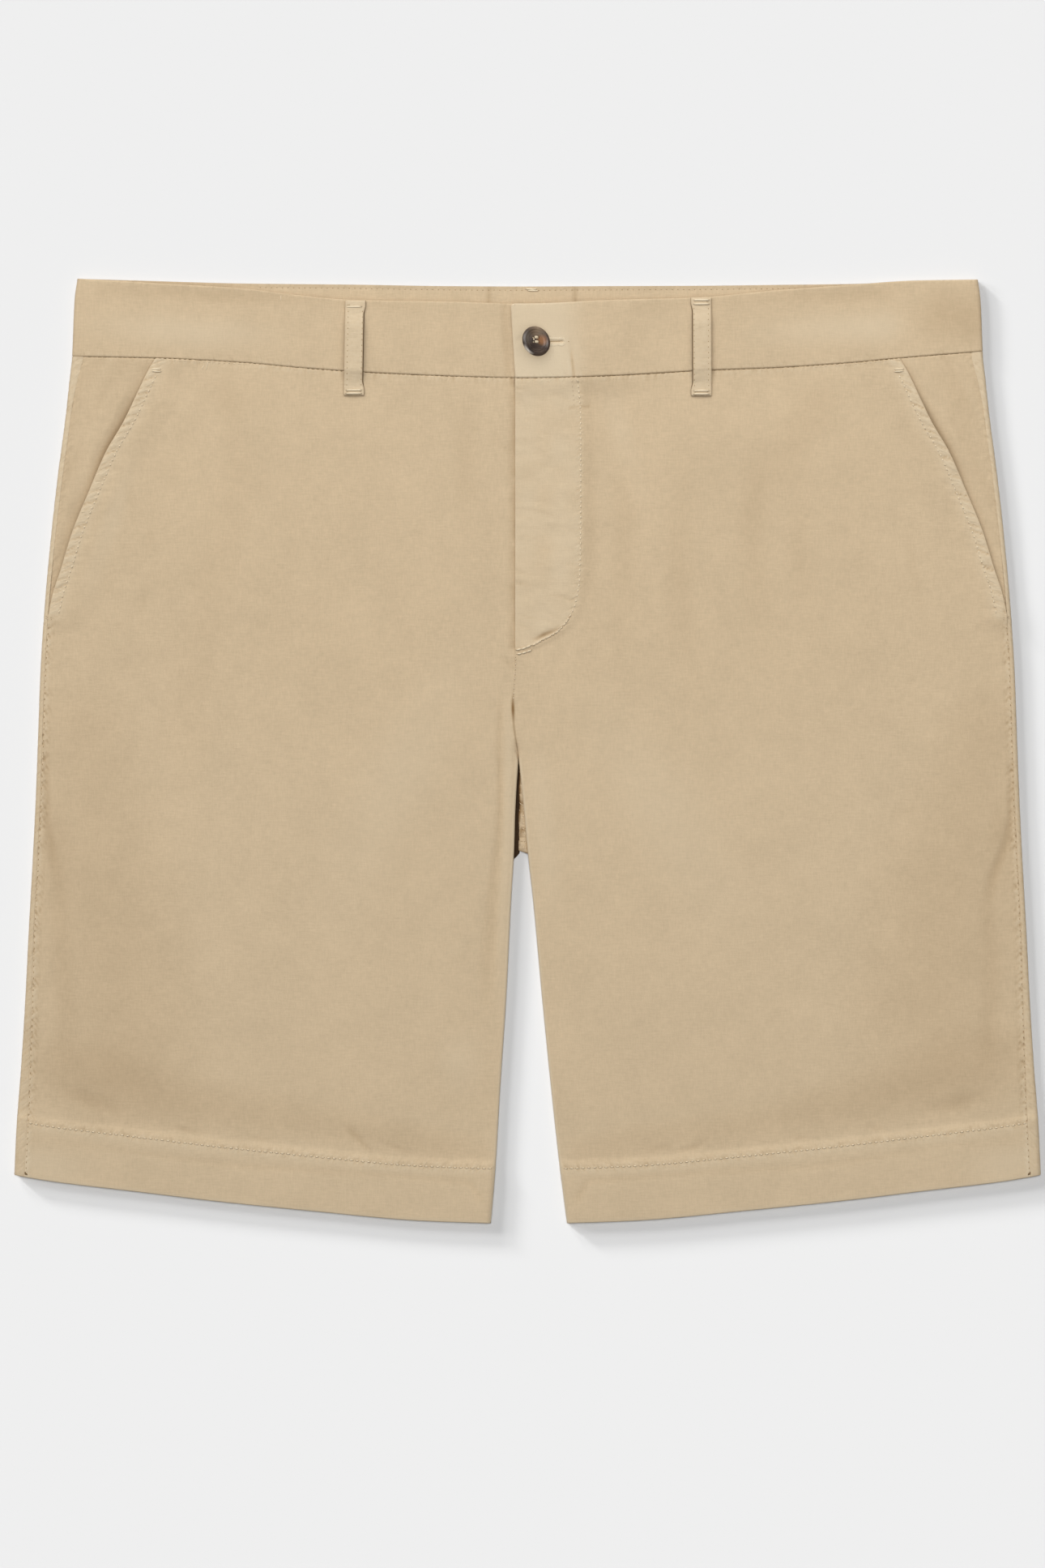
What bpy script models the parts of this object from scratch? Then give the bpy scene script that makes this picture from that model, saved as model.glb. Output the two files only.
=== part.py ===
"""Bermuda shorts, laid flat with the front up.

The garment is built from the pieces that a maker cuts and sews: two fronts, two backs, two pocket
facings, two waistband halves, two belt loops and a button. Each cloth piece is a grid bent to its
place in the flat garment, and a Solidify modifier gives it the wall of the cloth.

+X is the wearer's left, +Y runs from the hems to the waistband and +Z is up. The origin is under
the middle of the outline, on the surface that the garment lies on. Sizes are in millimetres.
"""

import math
from collections import namedtuple

import bmesh
import bpy
from mathutils import Vector

MM = 0.001
RIGHT = -1
LEFT = 1
SIDE_NAMES = {RIGHT: "right", LEFT: "left"}

# Cloth and the way its layers lie on each other
CLOTH = 1.0
GAP = 0.3
LAYER = CLOTH + GAP
FRONT_TOP = 4.2
BAND_WALL = 1.6
BAND_TOP = 4.6
CROWN = 1.0
CROWN_SPAN = 45.0
SEAM_SPAN = 40.0

# Hems: turned in once, with the face lifted by the layer inside
HEM = 30.0
HEM_LAP = 1.0
HEM_FADE = 8.0
HEM_GAP = 0.5
FOLD = CLOTH + HEM_GAP / 2

# Inseam: the front rolls down over the edge of the back, from the crotch to the hem
ROLL = 1.5
ROLL_TURN = math.radians(90.0)
ROLL_DROP = 1.4
ROLL_TOP = 29.0
ROLL_FULL = -4.0
HEM_ROLL = 2.75
HEM_ROLL_TURN = math.radians(74.0)
HEM_ROLL_DROP = 0.2

# Fly: the left front laps over the right one, down to the fly's bottom tack
FLY_UNDERLAP = 12.0
FLY_BOTTOM = 55.0
FLY_UNDERLAP_END = 60.0
FLY_UNDERLAP_TAPER = 8.0
FLY_FADE = 6.0
FLY_SETTLE = 11.0

# Slanted pockets: the front lies over the facing, from the mouth inwards
FACING_UNDER = 10.0
FACING_BOTTOM = 78.0
MOUTH_BOTTOM = 75.2
MOUTH_LAP = 11.0
MOUTH_FADE = 12.0
MOUTH_SETTLE = 11.0

# Centre back seam, and the web that it leaves between the legs
BACK_SEAM_LEAN = 4.4
WEB_BOTTOM = -56.0
WEB_RAMP = 4.5

# Waistband ends at the centre front
BAND_UNDER_END = 22.0
BAND_OVER_TOP = -9.5
BAND_OVER_SEAM = -6.9
BAND_OVER_FADE = 14.0
BAND_HEIGHT = 42.0

# Belt loops
LOOP_WALL = 1.4
LOOP_RISE = 1.6
LOOP_TACK = 5.0

# Button
BUTTON_RADIUS = 8.7
BUTTON_HOLE_RADIUS = 0.8
BUTTON_HOLE_OFFSET = 1.55
BUTTON_TILT = math.radians(12.0)
BUTTON_TILT_FACING = math.radians(40.0)
BUTTON_X = 4.8
BUTTON_Y = 227.7
BUTTON_STEPS = 40

# The side edge: half of the garment's width, and how far inside it the side seam lies
Side = namedtuple("Side", "height half_width strip")
SIDES = [
    Side(262.4, 249.9, 6.3),
    Side(250.6, 251.5, 6.3),
    Side(219.2, 252.9, 6.3),
    Side(205.6, 254.4, 4.5),
    Side(187.7, 256.3, 3.1),
    Side(151.6, 261.0, 2.9),
    Side(115.6, 265.0, 2.6),
    Side(79.6, 268.2, 2.4),
    Side(43.6, 270.5, 2.4),
    Side(7.6, 271.8, 2.5),
    Side(-28.4, 273.2, 2.6),
    Side(-64.4, 275.0, 2.7),
    Side(-100.0, 277.0, 2.9),
    Side(-136.0, 278.8, 3.6),
    Side(-172.0, 281.0, 4.6),
    Side(-208.0, 283.7, 6.0),
    Side(-236.0, 285.0, 5.8),
]

# The inner edges: the centre front down to the crotch, then the two inseams
Centre = namedtuple("Centre", "height right left")
CENTRES = [
    Centre(212.0, -6.9, -6.9),
    Centre(56.0, -6.9, -6.9),
    Centre(44.0, -7.3, -7.3),
    Centre(29.0, -8.2, -8.2),
    Centre(16.0, -7.8, -7.8),
    Centre(5.0, -6.4, -6.4),
    Centre(-4.0, -5.2, -5.0),
    Centre(-20.0, -6.1, -3.3),
    Centre(-36.0, -6.9, -1.7),
    Centre(-54.0, -7.4, -0.1),
    Centre(-82.0, -9.1, 3.0),
    Centre(-136.0, -11.8, 8.0),
    Centre(-190.0, -15.4, 13.4),
    Centre(-230.0, -17.7, 17.8),
    Centre(-262.0, -20.4, 21.9),
]

# The waist, across the garment: the front and back seams under the band, and the band's top edges
Waist = namedtuple("Waist", "across seam top back_seam back_top")
WAISTS = [
    Waist(-251.0, 219.1, 262.3, 219.1, 262.3),
    Waist(-207.0, 218.2, 259.8, 218.0, 261.0),
    Waist(-160.0, 215.9, 257.0, 216.7, 259.7),
    Waist(-125.0, 212.8, 252.9, 216.3, 259.3),
    Waist(-95.0, 210.7, 250.4, 216.0, 259.0),
    Waist(-45.0, 208.3, 249.6, 215.2, 258.2),
    Waist(0.0, 207.2, 248.4, 215.0, 258.0),
    Waist(45.0, 208.4, 250.4, 215.2, 258.2),
    Waist(95.0, 211.2, 251.9, 215.4, 258.4),
    Waist(140.0, 213.0, 256.0, 215.9, 258.9),
    Waist(180.0, 215.7, 258.9, 217.0, 259.4),
    Waist(215.0, 218.9, 261.2, 218.9, 260.9),
    Waist(251.0, 221.8, 261.8, 221.8, 261.8),
]

# The hem fold, by distance from the middle of the garment
Hem = namedtuple("Hem", "distance height")
HEMS = [
    Hem(15.0, -262.3),
    Hem(60.0, -260.6),
    Hem(120.0, -255.2),
    Hem(173.0, -249.8),
    Hem(218.0, -244.4),
    Hem(263.0, -239.0),
    Hem(286.0, -235.2),
]

# The slanted edge of the pocket mouth
Mouth = namedtuple("Mouth", "height distance")
MOUTHS = [
    Mouth(222.0, 204.0),
    Mouth(212.0, 210.3),
    Mouth(200.0, 216.1),
    Mouth(183.0, 224.2),
    Mouth(166.0, 234.1),
    Mouth(144.0, 243.6),
    Mouth(122.0, 252.6),
    Mouth(100.0, 259.4),
    Mouth(88.0, 263.4),
    Mouth(75.2, 266.2),
]

# The stitch line that bounds the fly, which is where its extra layer ends
Fly = namedtuple("Fly", "height across")
FLIES = [
    Fly(212.0, 27.5),
    Fly(181.0, 29.5),
    Fly(134.0, 29.5),
    Fly(99.0, 29.0),
    Fly(85.0, 27.2),
    Fly(74.3, 23.2),
    Fly(66.2, 16.4),
    Fly(61.7, 8.3),
    Fly(59.0, 3.4),
    Fly(55.0, -6.0),
]

# The largest folds of the fronts, as soft troughs (negative) and ridges between two points
Crease = namedtuple("Crease", "x_from y_from x_to y_to reach depth")
CREASES = [
    Crease(-15.0, 30.0, -16.4, -52.0, 8.0, -0.6),
    Crease(-16.4, -52.0, -19.0, -120.0, 8.0, -0.4),
    Crease(-266.0, 10.0, -262.0, -60.0, 7.0, -0.5),
    Crease(265.0, 2.0, 258.0, -68.0, 7.0, -0.5),
    Crease(-30.0, 60.0, -120.0, -90.0, 32.0, 0.5),
    Crease(28.0, 40.0, 120.0, -100.0, 34.0, 0.5),
    Crease(-200.0, 90.0, -215.0, -150.0, 30.0, -0.5),
    Crease(195.0, 80.0, 222.0, -160.0, 30.0, -0.5),
]

# Belt loops: where each one's middle is, its width and its ends
Loop = namedtuple("Loop", "side x_top x_bottom width bottom")
LOOPS = [
    Loop(RIGHT, -95.5, -96.4, 11.3, 197.4),
    Loop(LEFT, 96.3, 96.5, 11.3, 197.1),
]

# Rows of a panel: the heights, above the hem, of its face at the middle of the garment
FACE_ROWS = [12, 30, 35, 40, 62, 92, 125, 155, 182, 205, 232, 257, 268, 279, 290, 303, 314, 322, 335,
             360, 390, 420, 447]
PANEL_LENGTH = 469.0
HEM_STEPS = 5

# Columns of a front: a share of the way across it, and a distance added to that
Column = namedtuple("Column", "share offset")
FRONT_COLUMNS = [
    Column(0.0, 0.0),
    Column(0.0, 6.0),
    Column(0.0, 13.0),
    Column(0.0, 25.0),
    Column(0.0, 33.2),
    Column(0.0, 39.2),
    Column(0.27, 0.0),
    Column(0.39, 0.0),
    Column(0.51, 0.0),
    Column(0.63, 0.0),
    Column(0.75, 0.0),
    Column(1.0, -34.0),
    Column(1.0, -23.0),
    Column(1.0, -15.0),
    Column(1.0, -7.0),
    Column(1.0, 0.0),
]
ROLL_STEPS = 4
BACK_SHARES = [0.0, 0.2, 0.4, 0.6, 0.8, 1.0]
WRAP_STEPS = 6
BAND_SHARES = [0.0, 0.06, 0.12, 0.18, 0.3, 0.4, 0.5, 0.6, 0.7, 0.8, 0.9, 1.0]
BAND_ROWS = [0.0, 0.35, 0.7, 1.0]

Material = namedtuple("Material", "name color roughness")
TWILL = Material("khaki_twill", (0.617, 0.479, 0.300), 0.9)
HORN = Material("brown_horn", (0.07, 0.045, 0.03), 0.3)


def clamp(value):
    return min(1.0, max(0.0, value))


def ease(value):
    """0 below 0, 1 above 1 and smooth between."""
    share = clamp(value)
    return share * share * (3.0 - 2.0 * share)


def lerp(start, end, share):
    return start + (end - start) * share


def curve(table, across, value):
    """A smooth function through two columns of a table, level beyond its ends."""
    points = sorted((getattr(row, across), getattr(row, value)) for row in table)
    places = [point[0] for point in points]
    values = [point[1] for point in points]
    last = len(points) - 1
    grades = [(values[i + 1] - values[i]) / (places[i + 1] - places[i]) for i in range(last)]
    slopes = [grades[0]] + [grades[-1]] * last
    for i in range(1, last):
        before, after = grades[i - 1], grades[i]
        slopes[i] = 2 * before * after / (before + after) if before * after > 0 else 0.0

    def read(place):
        if place <= places[0]:
            return values[0]
        if place >= places[-1]:
            return values[-1]
        i = max(k for k in range(last) if places[k] <= place)
        step = places[i + 1] - places[i]
        t = (place - places[i]) / step
        return ((1 + 2 * t) * (1 - t) ** 2 * values[i] + t * (1 - t) ** 2 * step * slopes[i]
                + t * t * (3 - 2 * t) * values[i + 1] - t * t * (1 - t) * step * slopes[i + 1])

    return read


half_width = curve(SIDES, "height", "half_width")
side_strip = curve(SIDES, "height", "strip")
centre_edge = {RIGHT: curve(CENTRES, "height", "right"), LEFT: curve(CENTRES, "height", "left")}
front_seam = curve(WAISTS, "across", "seam")
front_top_edge = curve(WAISTS, "across", "top")
back_seam = curve(WAISTS, "across", "back_seam")
back_top_edge = curve(WAISTS, "across", "back_top")
mouth_edge = curve(MOUTHS, "height", "distance")
fly_stitch = curve(FLIES, "height", "across")
hem_by_distance = curve(HEMS, "distance", "height")


def hem_line(x):
    return hem_by_distance(abs(x))


# Heights of the fronts ----------------------------------------------------------------------


def hem_lift(x, y):
    """1 over the turned-in hem, fading to 0 above it."""
    return 1.0 - ease((y - hem_line(x) - HEM - HEM_LAP) / HEM_FADE)


def fly_lift(side, x, y):
    """1 where the left front lies over the right one."""
    if side == RIGHT:
        return 0.0
    across = 1.0 - ease((x - fly_stitch(y)) / FLY_FADE)
    return across * ease((y - FLY_BOTTOM + FLY_SETTLE) / FLY_SETTLE)


def mouth_lift(side, x, y):
    """1 where a front lies over its pocket facing."""
    inwards = mouth_edge(y) - side * x
    across = 1.0 - ease((inwards - MOUTH_LAP) / MOUTH_FADE)
    return across * ease((y - MOUTH_BOTTOM + MOUTH_SETTLE) / MOUTH_SETTLE)


def edge_distance(side, x, y):
    """How far inside its nearest edge, inner or outer, a point of a front lies."""
    inner = side * (x - centre_edge[side](y))
    outer = half_width(y) - side_strip(y) - side * x
    return max(0.0, inner), max(0.0, outer)


def crease_height(x, y):
    """The sum of the folds that pass a point."""
    total = 0.0
    for crease in CREASES:
        run = Vector((crease.x_to - crease.x_from, crease.y_to - crease.y_from))
        start = Vector((x - crease.x_from, y - crease.y_from))
        along = start.dot(run) / run.length_squared
        aside = (start - run * clamp(along)).length
        if aside < crease.reach:
            total += crease.depth * (1.0 - (aside / crease.reach) ** 2) ** 2
    return total


def front_height(side, x, y):
    """The outer face of a front at a point."""
    lift = max(hem_lift(x, y), fly_lift(side, x, y), mouth_lift(side, x, y))
    inner, outer = edge_distance(side, x, y)
    crown = CROWN * ease(inner / CROWN_SPAN) * ease(outer / CROWN_SPAN)
    crown *= ease((front_seam(x) - y) / SEAM_SPAN) * ease((y - hem_line(x) - HEM) / SEAM_SPAN)
    folds = crease_height(x, y) * ease(inner / 8.0) * ease(outer / 6.0)
    return FRONT_TOP + LAYER * lift + crown + folds


def band_height(side, x):
    """The outer face of the front waistband: the left end is lifted over the right one."""
    if side == RIGHT:
        return BAND_TOP
    return BAND_TOP + (BAND_WALL + GAP) * (1.0 - ease((x - BAND_UNDER_END - GAP) / BAND_OVER_FADE))


# Sections: each gives x, z and the outward normal of one column of cloth at a height y -------


def front_inner(side, y):
    """The inner edge of a front, with the right one's lap under the fly."""
    edge = centre_edge[side](y) + side * GAP / 2
    if side == RIGHT:
        edge += FLY_UNDERLAP * ease((y - FLY_UNDERLAP_END) / FLY_UNDERLAP_TAPER)
    return edge


def front_outer(side, y):
    """The outer edge of a front: the pocket mouth, then the side seam."""
    distance = half_width(y) - side_strip(y) - GAP
    if y > MOUTH_BOTTOM:
        distance = min(distance, mouth_edge(y))
    return side * distance


def roll_point(side, y, turn_share, drop_share):
    """A point of the rolled inseam edge: how far out, how far down, and its angle."""
    lift = hem_lift(centre_edge[side](y), y)
    growth = max(0.001, ease((ROLL_TOP - y) / (ROLL_TOP - ROLL_FULL)))
    radius = lerp(ROLL, HEM_ROLL, lift) / growth
    angle = lerp(ROLL_TURN, HEM_ROLL_TURN, lift) * growth * turn_share
    drop = lerp(ROLL_DROP, HEM_ROLL_DROP, lift) * drop_share
    out = radius * math.sin(angle) + drop * math.cos(angle)
    down = radius * (1.0 - math.cos(angle)) + drop * math.sin(angle)
    return out, down, angle


def front_section(side, column):
    def section(y):
        roll_out = roll_point(side, y, 1.0, 1.0)[0]
        start = front_inner(side, y) + side * roll_out
        x = lerp(start, front_outer(side, y), column.share) + side * column.offset
        return x, front_height(side, x, y), Vector((0, 0, 1))
    return section


def roll_section(side, turn_share, drop_share):
    def section(y):
        start = front_inner(side, y) + side * roll_point(side, y, 1.0, 1.0)[0]
        out, down, angle = roll_point(side, y, turn_share, drop_share)
        normal = Vector((-side * math.sin(angle), 0, math.cos(angle)))
        return start - side * out, front_height(side, start, y) - down, normal
    return section


def back_inner(side, y):
    """The inner edge of a back: the centre back seam, then the inseam below the web."""
    seam = -BACK_SEAM_LEAN * ease((back_seam(0.0) - y) / (back_seam(0.0) - WEB_BOTTOM))
    edge = lerp(seam, centre_edge[side](y), ease((WEB_BOTTOM - y) / WEB_RAMP))
    return edge + side * GAP / 2


def wrap_radius(x, y):
    return (FRONT_TOP + LAYER * hem_lift(x, y)) / 2


def back_section(side, share):
    def section(y):
        inner = back_inner(side, y)
        outer = side * (half_width(y) - wrap_radius(side * half_width(y), y))
        return lerp(inner, outer, share), 0.0, Vector((0, 0, -1))
    return section


def wrap_section(side, angle):
    """The back goes round the side fold, from under the garment to its top."""
    def section(y):
        radius = wrap_radius(side * half_width(y), y)
        x = side * (half_width(y) - radius + radius * math.sin(angle))
        normal = Vector((side * math.sin(angle), 0, -math.cos(angle)))
        return x, radius * (1.0 - math.cos(angle)), normal
    return section


def strip_section(side):
    """The back's edge at the side seam, on top of the garment."""
    def section(y):
        radius = wrap_radius(side * half_width(y), y)
        return side * (half_width(y) - side_strip(y)), 2 * radius, Vector((0, 0, 1))
    return section


def facing_section(side, share):
    def section(y):
        inner = mouth_edge(y) - FACING_UNDER
        outer = half_width(y) - side_strip(y) - GAP
        return side * lerp(inner, outer, share), FRONT_TOP, Vector((0, 0, 1))
    return section


def band_front_section(side, share):
    def section(y):
        end = BAND_UNDER_END
        if side == LEFT:
            end = lerp(BAND_OVER_SEAM, BAND_OVER_TOP, (y - front_seam(0.0)) / BAND_HEIGHT)
        x = lerp(end, side * (half_width(y) - BAND_TOP / 2), share)
        return x, band_height(side, x), Vector((0, 0, 1))
    return section


def band_wrap_section(side, angle):
    def section(y):
        radius = BAND_TOP / 2
        x = side * (half_width(y) - radius + radius * math.sin(angle))
        normal = Vector((side * math.sin(angle), 0, math.cos(angle)))
        return x, radius * (1.0 + math.cos(angle)), normal
    return section


def band_back_section(side, share):
    def section(y):
        x = lerp(side * (half_width(y) - BAND_TOP / 2), side * GAP / 2, share)
        return x, 0.0, Vector((0, 0, -1))
    return section


# Panels -------------------------------------------------------------------------------------

Row = namedtuple("Row", "share rise inset")
Strand = namedtuple("Strand", "section bottom top")


def below(edge):
    """A seam line with the gap left under it."""
    return lambda x: edge(x) - GAP


def hemmed_rows():
    """From the turned-in edge down to the hem fold, round it, and up the face."""
    rows = [Row(0.0, HEM, 2 * FOLD), Row(0.0, HEM / 2, 2 * FOLD)]
    for step in range(HEM_STEPS + 1):
        angle = math.pi * (1.0 - step / HEM_STEPS)
        rows.append(Row(0.0, FOLD * (1.0 - math.sin(angle)), FOLD * (1.0 - math.cos(angle))))
    rows += [Row(height / PANEL_LENGTH, 0.0, 0.0) for height in FACE_ROWS]
    return rows + [Row(1.0, 0.0, 0.0)]


def strand_point(strand, row):
    """Where a column of cloth meets a row, found by stepping between the two."""
    y = 0.0
    for _ in range(6):
        x = strand.section(y)[0]
        bottom = strand.bottom(x)
        y = bottom + row.rise + row.share * (strand.top(x) - bottom)
    x, z, normal = strand.section(y)
    return Vector((x, y, z)) - normal * row.inset


def bent_grid(name, strands, rows, reverse, wall, material):
    """A grid with a column for each strand, put in place and given its wall."""
    mesh = bpy.data.meshes.new(name)
    grid = bmesh.new()
    columns = len(strands) - 1
    lines = len(rows) - 1
    bmesh.ops.create_grid(grid, x_segments=columns, y_segments=lines, size=0.5)
    for vertex in grid.verts:
        column = round((vertex.co.x + 0.5) * columns)
        line = round((vertex.co.y + 0.5) * lines)
        vertex.co = strand_point(strands[column], rows[line]) * MM
    if reverse:
        bmesh.ops.reverse_faces(grid, faces=grid.faces[:])
    grid.to_mesh(mesh)
    grid.free()
    piece = bpy.data.objects.new(name, mesh)
    shorts.objects.link(piece)
    mesh.materials.append(material)
    mesh.shade_smooth()
    solid = piece.modifiers.new("wall", "SOLIDIFY")
    solid.thickness = wall * MM
    solid.offset = -1.0
    solid.use_even_offset = True
    return piece


def front(side, material):
    """From the inseam roll or the fly across to the pocket mouth and the side seam."""
    top = below(front_seam)
    sections = [roll_section(side, 1.0, 1.0)]
    sections += [roll_section(side, 1.0 - step / ROLL_STEPS, 0.0) for step in range(ROLL_STEPS)]
    sections += [front_section(side, column) for column in FRONT_COLUMNS]
    strands = [Strand(section, hem_line, top) for section in sections]
    name = "front_" + SIDE_NAMES[side]
    return bent_grid(name, strands, hemmed_rows(), side == RIGHT, CLOTH, material)


def back(side, material):
    """From the centre back seam and the inseam, under the garment and round the side fold."""
    under = [back_section(side, share) for share in BACK_SHARES]
    strands = [Strand(section, hem_line, below(back_seam)) for section in under]
    over = [wrap_section(side, math.pi * (step + 1) / WRAP_STEPS) for step in range(WRAP_STEPS)]
    over.append(strip_section(side))
    strands += [Strand(section, hem_line, below(front_seam)) for section in over]
    name = "back_" + SIDE_NAMES[side]
    return bent_grid(name, strands, hemmed_rows(), side == LEFT, CLOTH, material)


def pocket_facing(side, material):
    """The cloth behind the pocket mouth, from under the front to the side seam."""
    strands = [Strand(facing_section(side, step / 5), lambda x: FACING_BOTTOM, below(front_seam))
               for step in range(6)]
    rows = [Row(step / 8, 0.0, 0.0) for step in range(9)]
    name = "pocket_facing_" + SIDE_NAMES[side]
    return bent_grid(name, strands, rows, side == RIGHT, CLOTH, material)


def waistband(side, material):
    """One half of the band: across the front, round the side fold and back to the centre back."""
    strands = [Strand(band_front_section(side, share), front_seam, front_top_edge)
               for share in BAND_SHARES]
    for step in range(1, WRAP_STEPS):
        share = step / WRAP_STEPS
        strands.append(Strand(
            band_wrap_section(side, math.pi * share),
            lambda x, share=share: lerp(front_seam(x), back_seam(x), share),
            lambda x, share=share: lerp(front_top_edge(x), back_top_edge(x), share)))
    strands += [Strand(band_back_section(side, step / 8), back_seam, back_top_edge)
                for step in range(9)]
    rows = [Row(share, 0.0, 0.0) for share in BAND_ROWS]
    name = "waistband_" + SIDE_NAMES[side]
    return bent_grid(name, strands, rows, side == RIGHT, BAND_WALL, material)


def surface_height(side, x, y):
    """The top of the cloth that a belt loop lies on."""
    if y > front_seam(x) - LOOP_TACK:
        return max(band_height(side, x), front_height(side, x, y))
    return front_height(side, x, y)


def belt_loop(loop, material):
    """A strip tacked down at both ends, standing off the band between them."""
    top = front_top_edge(loop.x_top) - GAP
    length = top - loop.bottom

    def section_at(across):
        def section(y):
            share = clamp((y - loop.bottom) / length)
            x = lerp(loop.x_bottom, loop.x_top, share) + across * loop.width / 2
            inside = min(y - loop.bottom, top - y) - LOOP_TACK
            rise = LOOP_RISE * ease(inside / (2 * LOOP_TACK))
            base = surface_height(loop.side, x, y)
            return x, base + GAP + LOOP_WALL + rise, Vector((0, 0, 1))
        return section

    strands = [Strand(section_at(across), lambda x: loop.bottom, lambda x: top)
               for across in (-1.0, 0.0, 1.0)]
    rows = [Row(step / 16, 0.0, 0.0) for step in range(17)]
    name = "belt_loop_" + SIDE_NAMES[loop.side]
    return bent_grid(name, strands, rows, False, LOOP_WALL, material)


# Button -------------------------------------------------------------------------------------

Turned = namedtuple("Turned", "radius height")
BUTTON_PROFILE = [
    Turned(0.0, 1.9),
    Turned(4.6, 1.9),
    Turned(5.6, 2.6),
    Turned(6.8, 3.0),
    Turned(7.9, 2.8),
    Turned(BUTTON_RADIUS, 2.0),
    Turned(BUTTON_RADIUS, 1.3),
    Turned(7.9, 0.5),
    Turned(6.0, 0.0),
    Turned(0.0, 0.0),
]


def turned_disc(name):
    """The button's section, turned about its axis."""
    mesh = bpy.data.meshes.new(name)
    points = [(point.radius * MM, 0.0, point.height * MM) for point in BUTTON_PROFILE]
    mesh.from_pydata(points, [(i, i + 1) for i in range(len(points) - 1)], [])
    disc = bpy.data.objects.new(name, mesh)
    shorts.objects.link(disc)
    screw = disc.modifiers.new("turn", "SCREW")
    screw.steps = BUTTON_STEPS
    screw.render_steps = BUTTON_STEPS
    screw.use_merge_vertices = True
    screw.merge_threshold = 0.00001
    return disc


def drill(disc, x, y):
    """One thread hole through the button."""
    bpy.ops.mesh.primitive_cylinder_add(
        vertices=12, radius=BUTTON_HOLE_RADIUS * MM, depth=10 * MM, location=(x * MM, y * MM, 0))
    cutter = bpy.context.active_object
    cutter.name = "hole_cutter"
    for collection in cutter.users_collection:
        collection.objects.unlink(cutter)
    cutters.objects.link(cutter)
    cutter.parent = disc
    cutter.hide_render = True
    cutter.display_type = "WIRE"
    cut = disc.modifiers.new("hole", "BOOLEAN")
    cut.operation = "DIFFERENCE"
    cut.object = cutter


def button(material):
    """Four thread holes in a dished disc, tilted on its thread above the band's end."""
    disc = turned_disc("button")
    for side_x in (-1, 1):
        for side_y in (-1, 1):
            drill(disc, side_x * BUTTON_HOLE_OFFSET, side_y * BUTTON_HOLE_OFFSET)
    disc.data.materials.append(material)
    base = band_height(LEFT, BUTTON_X) + GAP + BUTTON_RADIUS * math.sin(BUTTON_TILT)
    disc.location = Vector((BUTTON_X, BUTTON_Y, base)) * MM
    axis = Vector((-math.sin(BUTTON_TILT_FACING), math.cos(BUTTON_TILT_FACING), 0))
    disc.rotation_mode = "AXIS_ANGLE"
    disc.rotation_axis_angle = (BUTTON_TILT, *axis)
    return disc


# Scene --------------------------------------------------------------------------------------


def new_material(look):
    material = bpy.data.materials.new(look.name)
    material.use_nodes = True
    shader = material.node_tree.nodes["Principled BSDF"]
    shader.inputs["Base Color"].default_value = (*look.color, 1.0)
    shader.inputs["Roughness"].default_value = look.roughness
    shader.inputs["Metallic"].default_value = 0.0
    return material


def new_collection(name):
    collection = bpy.data.collections.new(name)
    bpy.context.scene.collection.children.link(collection)
    return collection


for old in list(bpy.data.objects):
    bpy.data.objects.remove(old)

shorts = new_collection("bermuda_shorts")
cutters = new_collection("cutters")
twill = new_material(TWILL)
horn = new_material(HORN)

for side in (RIGHT, LEFT):
    front(side, twill)
    back(side, twill)
    pocket_facing(side, twill)
    waistband(side, twill)
for loop in LOOPS:
    belt_loop(loop, twill)
button(horn)
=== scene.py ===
# %% [markdown]
# # Bermuda shorts, laid flat
# These are cotton twill shorts that lie on a pale table with the front up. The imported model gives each
# piece of the garment as a plain solid, and this lesson dresses those solids: a fine cloth shell for each
# cut piece, with its folds and puckers, then the sewing, the horn button, a floor, lights and a camera.

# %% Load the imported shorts
import math
from collections import namedtuple

import bpy
import numpy as np
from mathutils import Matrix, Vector
from mathutils.bvhtree import BVHTree


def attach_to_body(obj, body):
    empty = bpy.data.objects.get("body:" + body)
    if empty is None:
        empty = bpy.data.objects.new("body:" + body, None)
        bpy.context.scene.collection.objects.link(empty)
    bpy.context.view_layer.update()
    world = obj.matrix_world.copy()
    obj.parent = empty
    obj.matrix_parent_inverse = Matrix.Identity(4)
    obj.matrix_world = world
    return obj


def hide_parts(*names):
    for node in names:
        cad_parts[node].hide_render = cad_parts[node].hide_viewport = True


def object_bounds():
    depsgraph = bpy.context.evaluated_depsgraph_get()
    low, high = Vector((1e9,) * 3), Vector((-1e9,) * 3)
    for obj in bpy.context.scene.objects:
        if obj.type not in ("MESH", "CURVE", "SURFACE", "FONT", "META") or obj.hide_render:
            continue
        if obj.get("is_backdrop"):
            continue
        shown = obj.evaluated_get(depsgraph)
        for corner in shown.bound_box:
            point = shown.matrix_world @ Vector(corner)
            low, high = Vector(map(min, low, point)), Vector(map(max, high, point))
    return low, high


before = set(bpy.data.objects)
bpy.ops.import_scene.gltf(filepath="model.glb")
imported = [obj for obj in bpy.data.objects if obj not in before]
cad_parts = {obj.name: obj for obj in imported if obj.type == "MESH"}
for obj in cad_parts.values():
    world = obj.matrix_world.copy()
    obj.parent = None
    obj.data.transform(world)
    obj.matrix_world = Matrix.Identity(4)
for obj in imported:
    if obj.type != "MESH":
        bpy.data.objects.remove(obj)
cad_low, cad_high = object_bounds()
print("packed pieces:", sorted(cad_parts))

# %% [markdown]
# Everything below is in millimetres, as a pattern cutter works, and is turned into metres only where a
# mesh gets its points. The wearer's right is at -X and the left at +X, and +Y runs up to the waist.

# %% Units and sides
MM = 0.001
RIGHT = -1
LEFT = 1
SIDES = {RIGHT: "right", LEFT: "left"}


def table(kind, *rows):
    """Rows of numbers under the names of their columns."""
    return [kind(*row) for row in rows]


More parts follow.
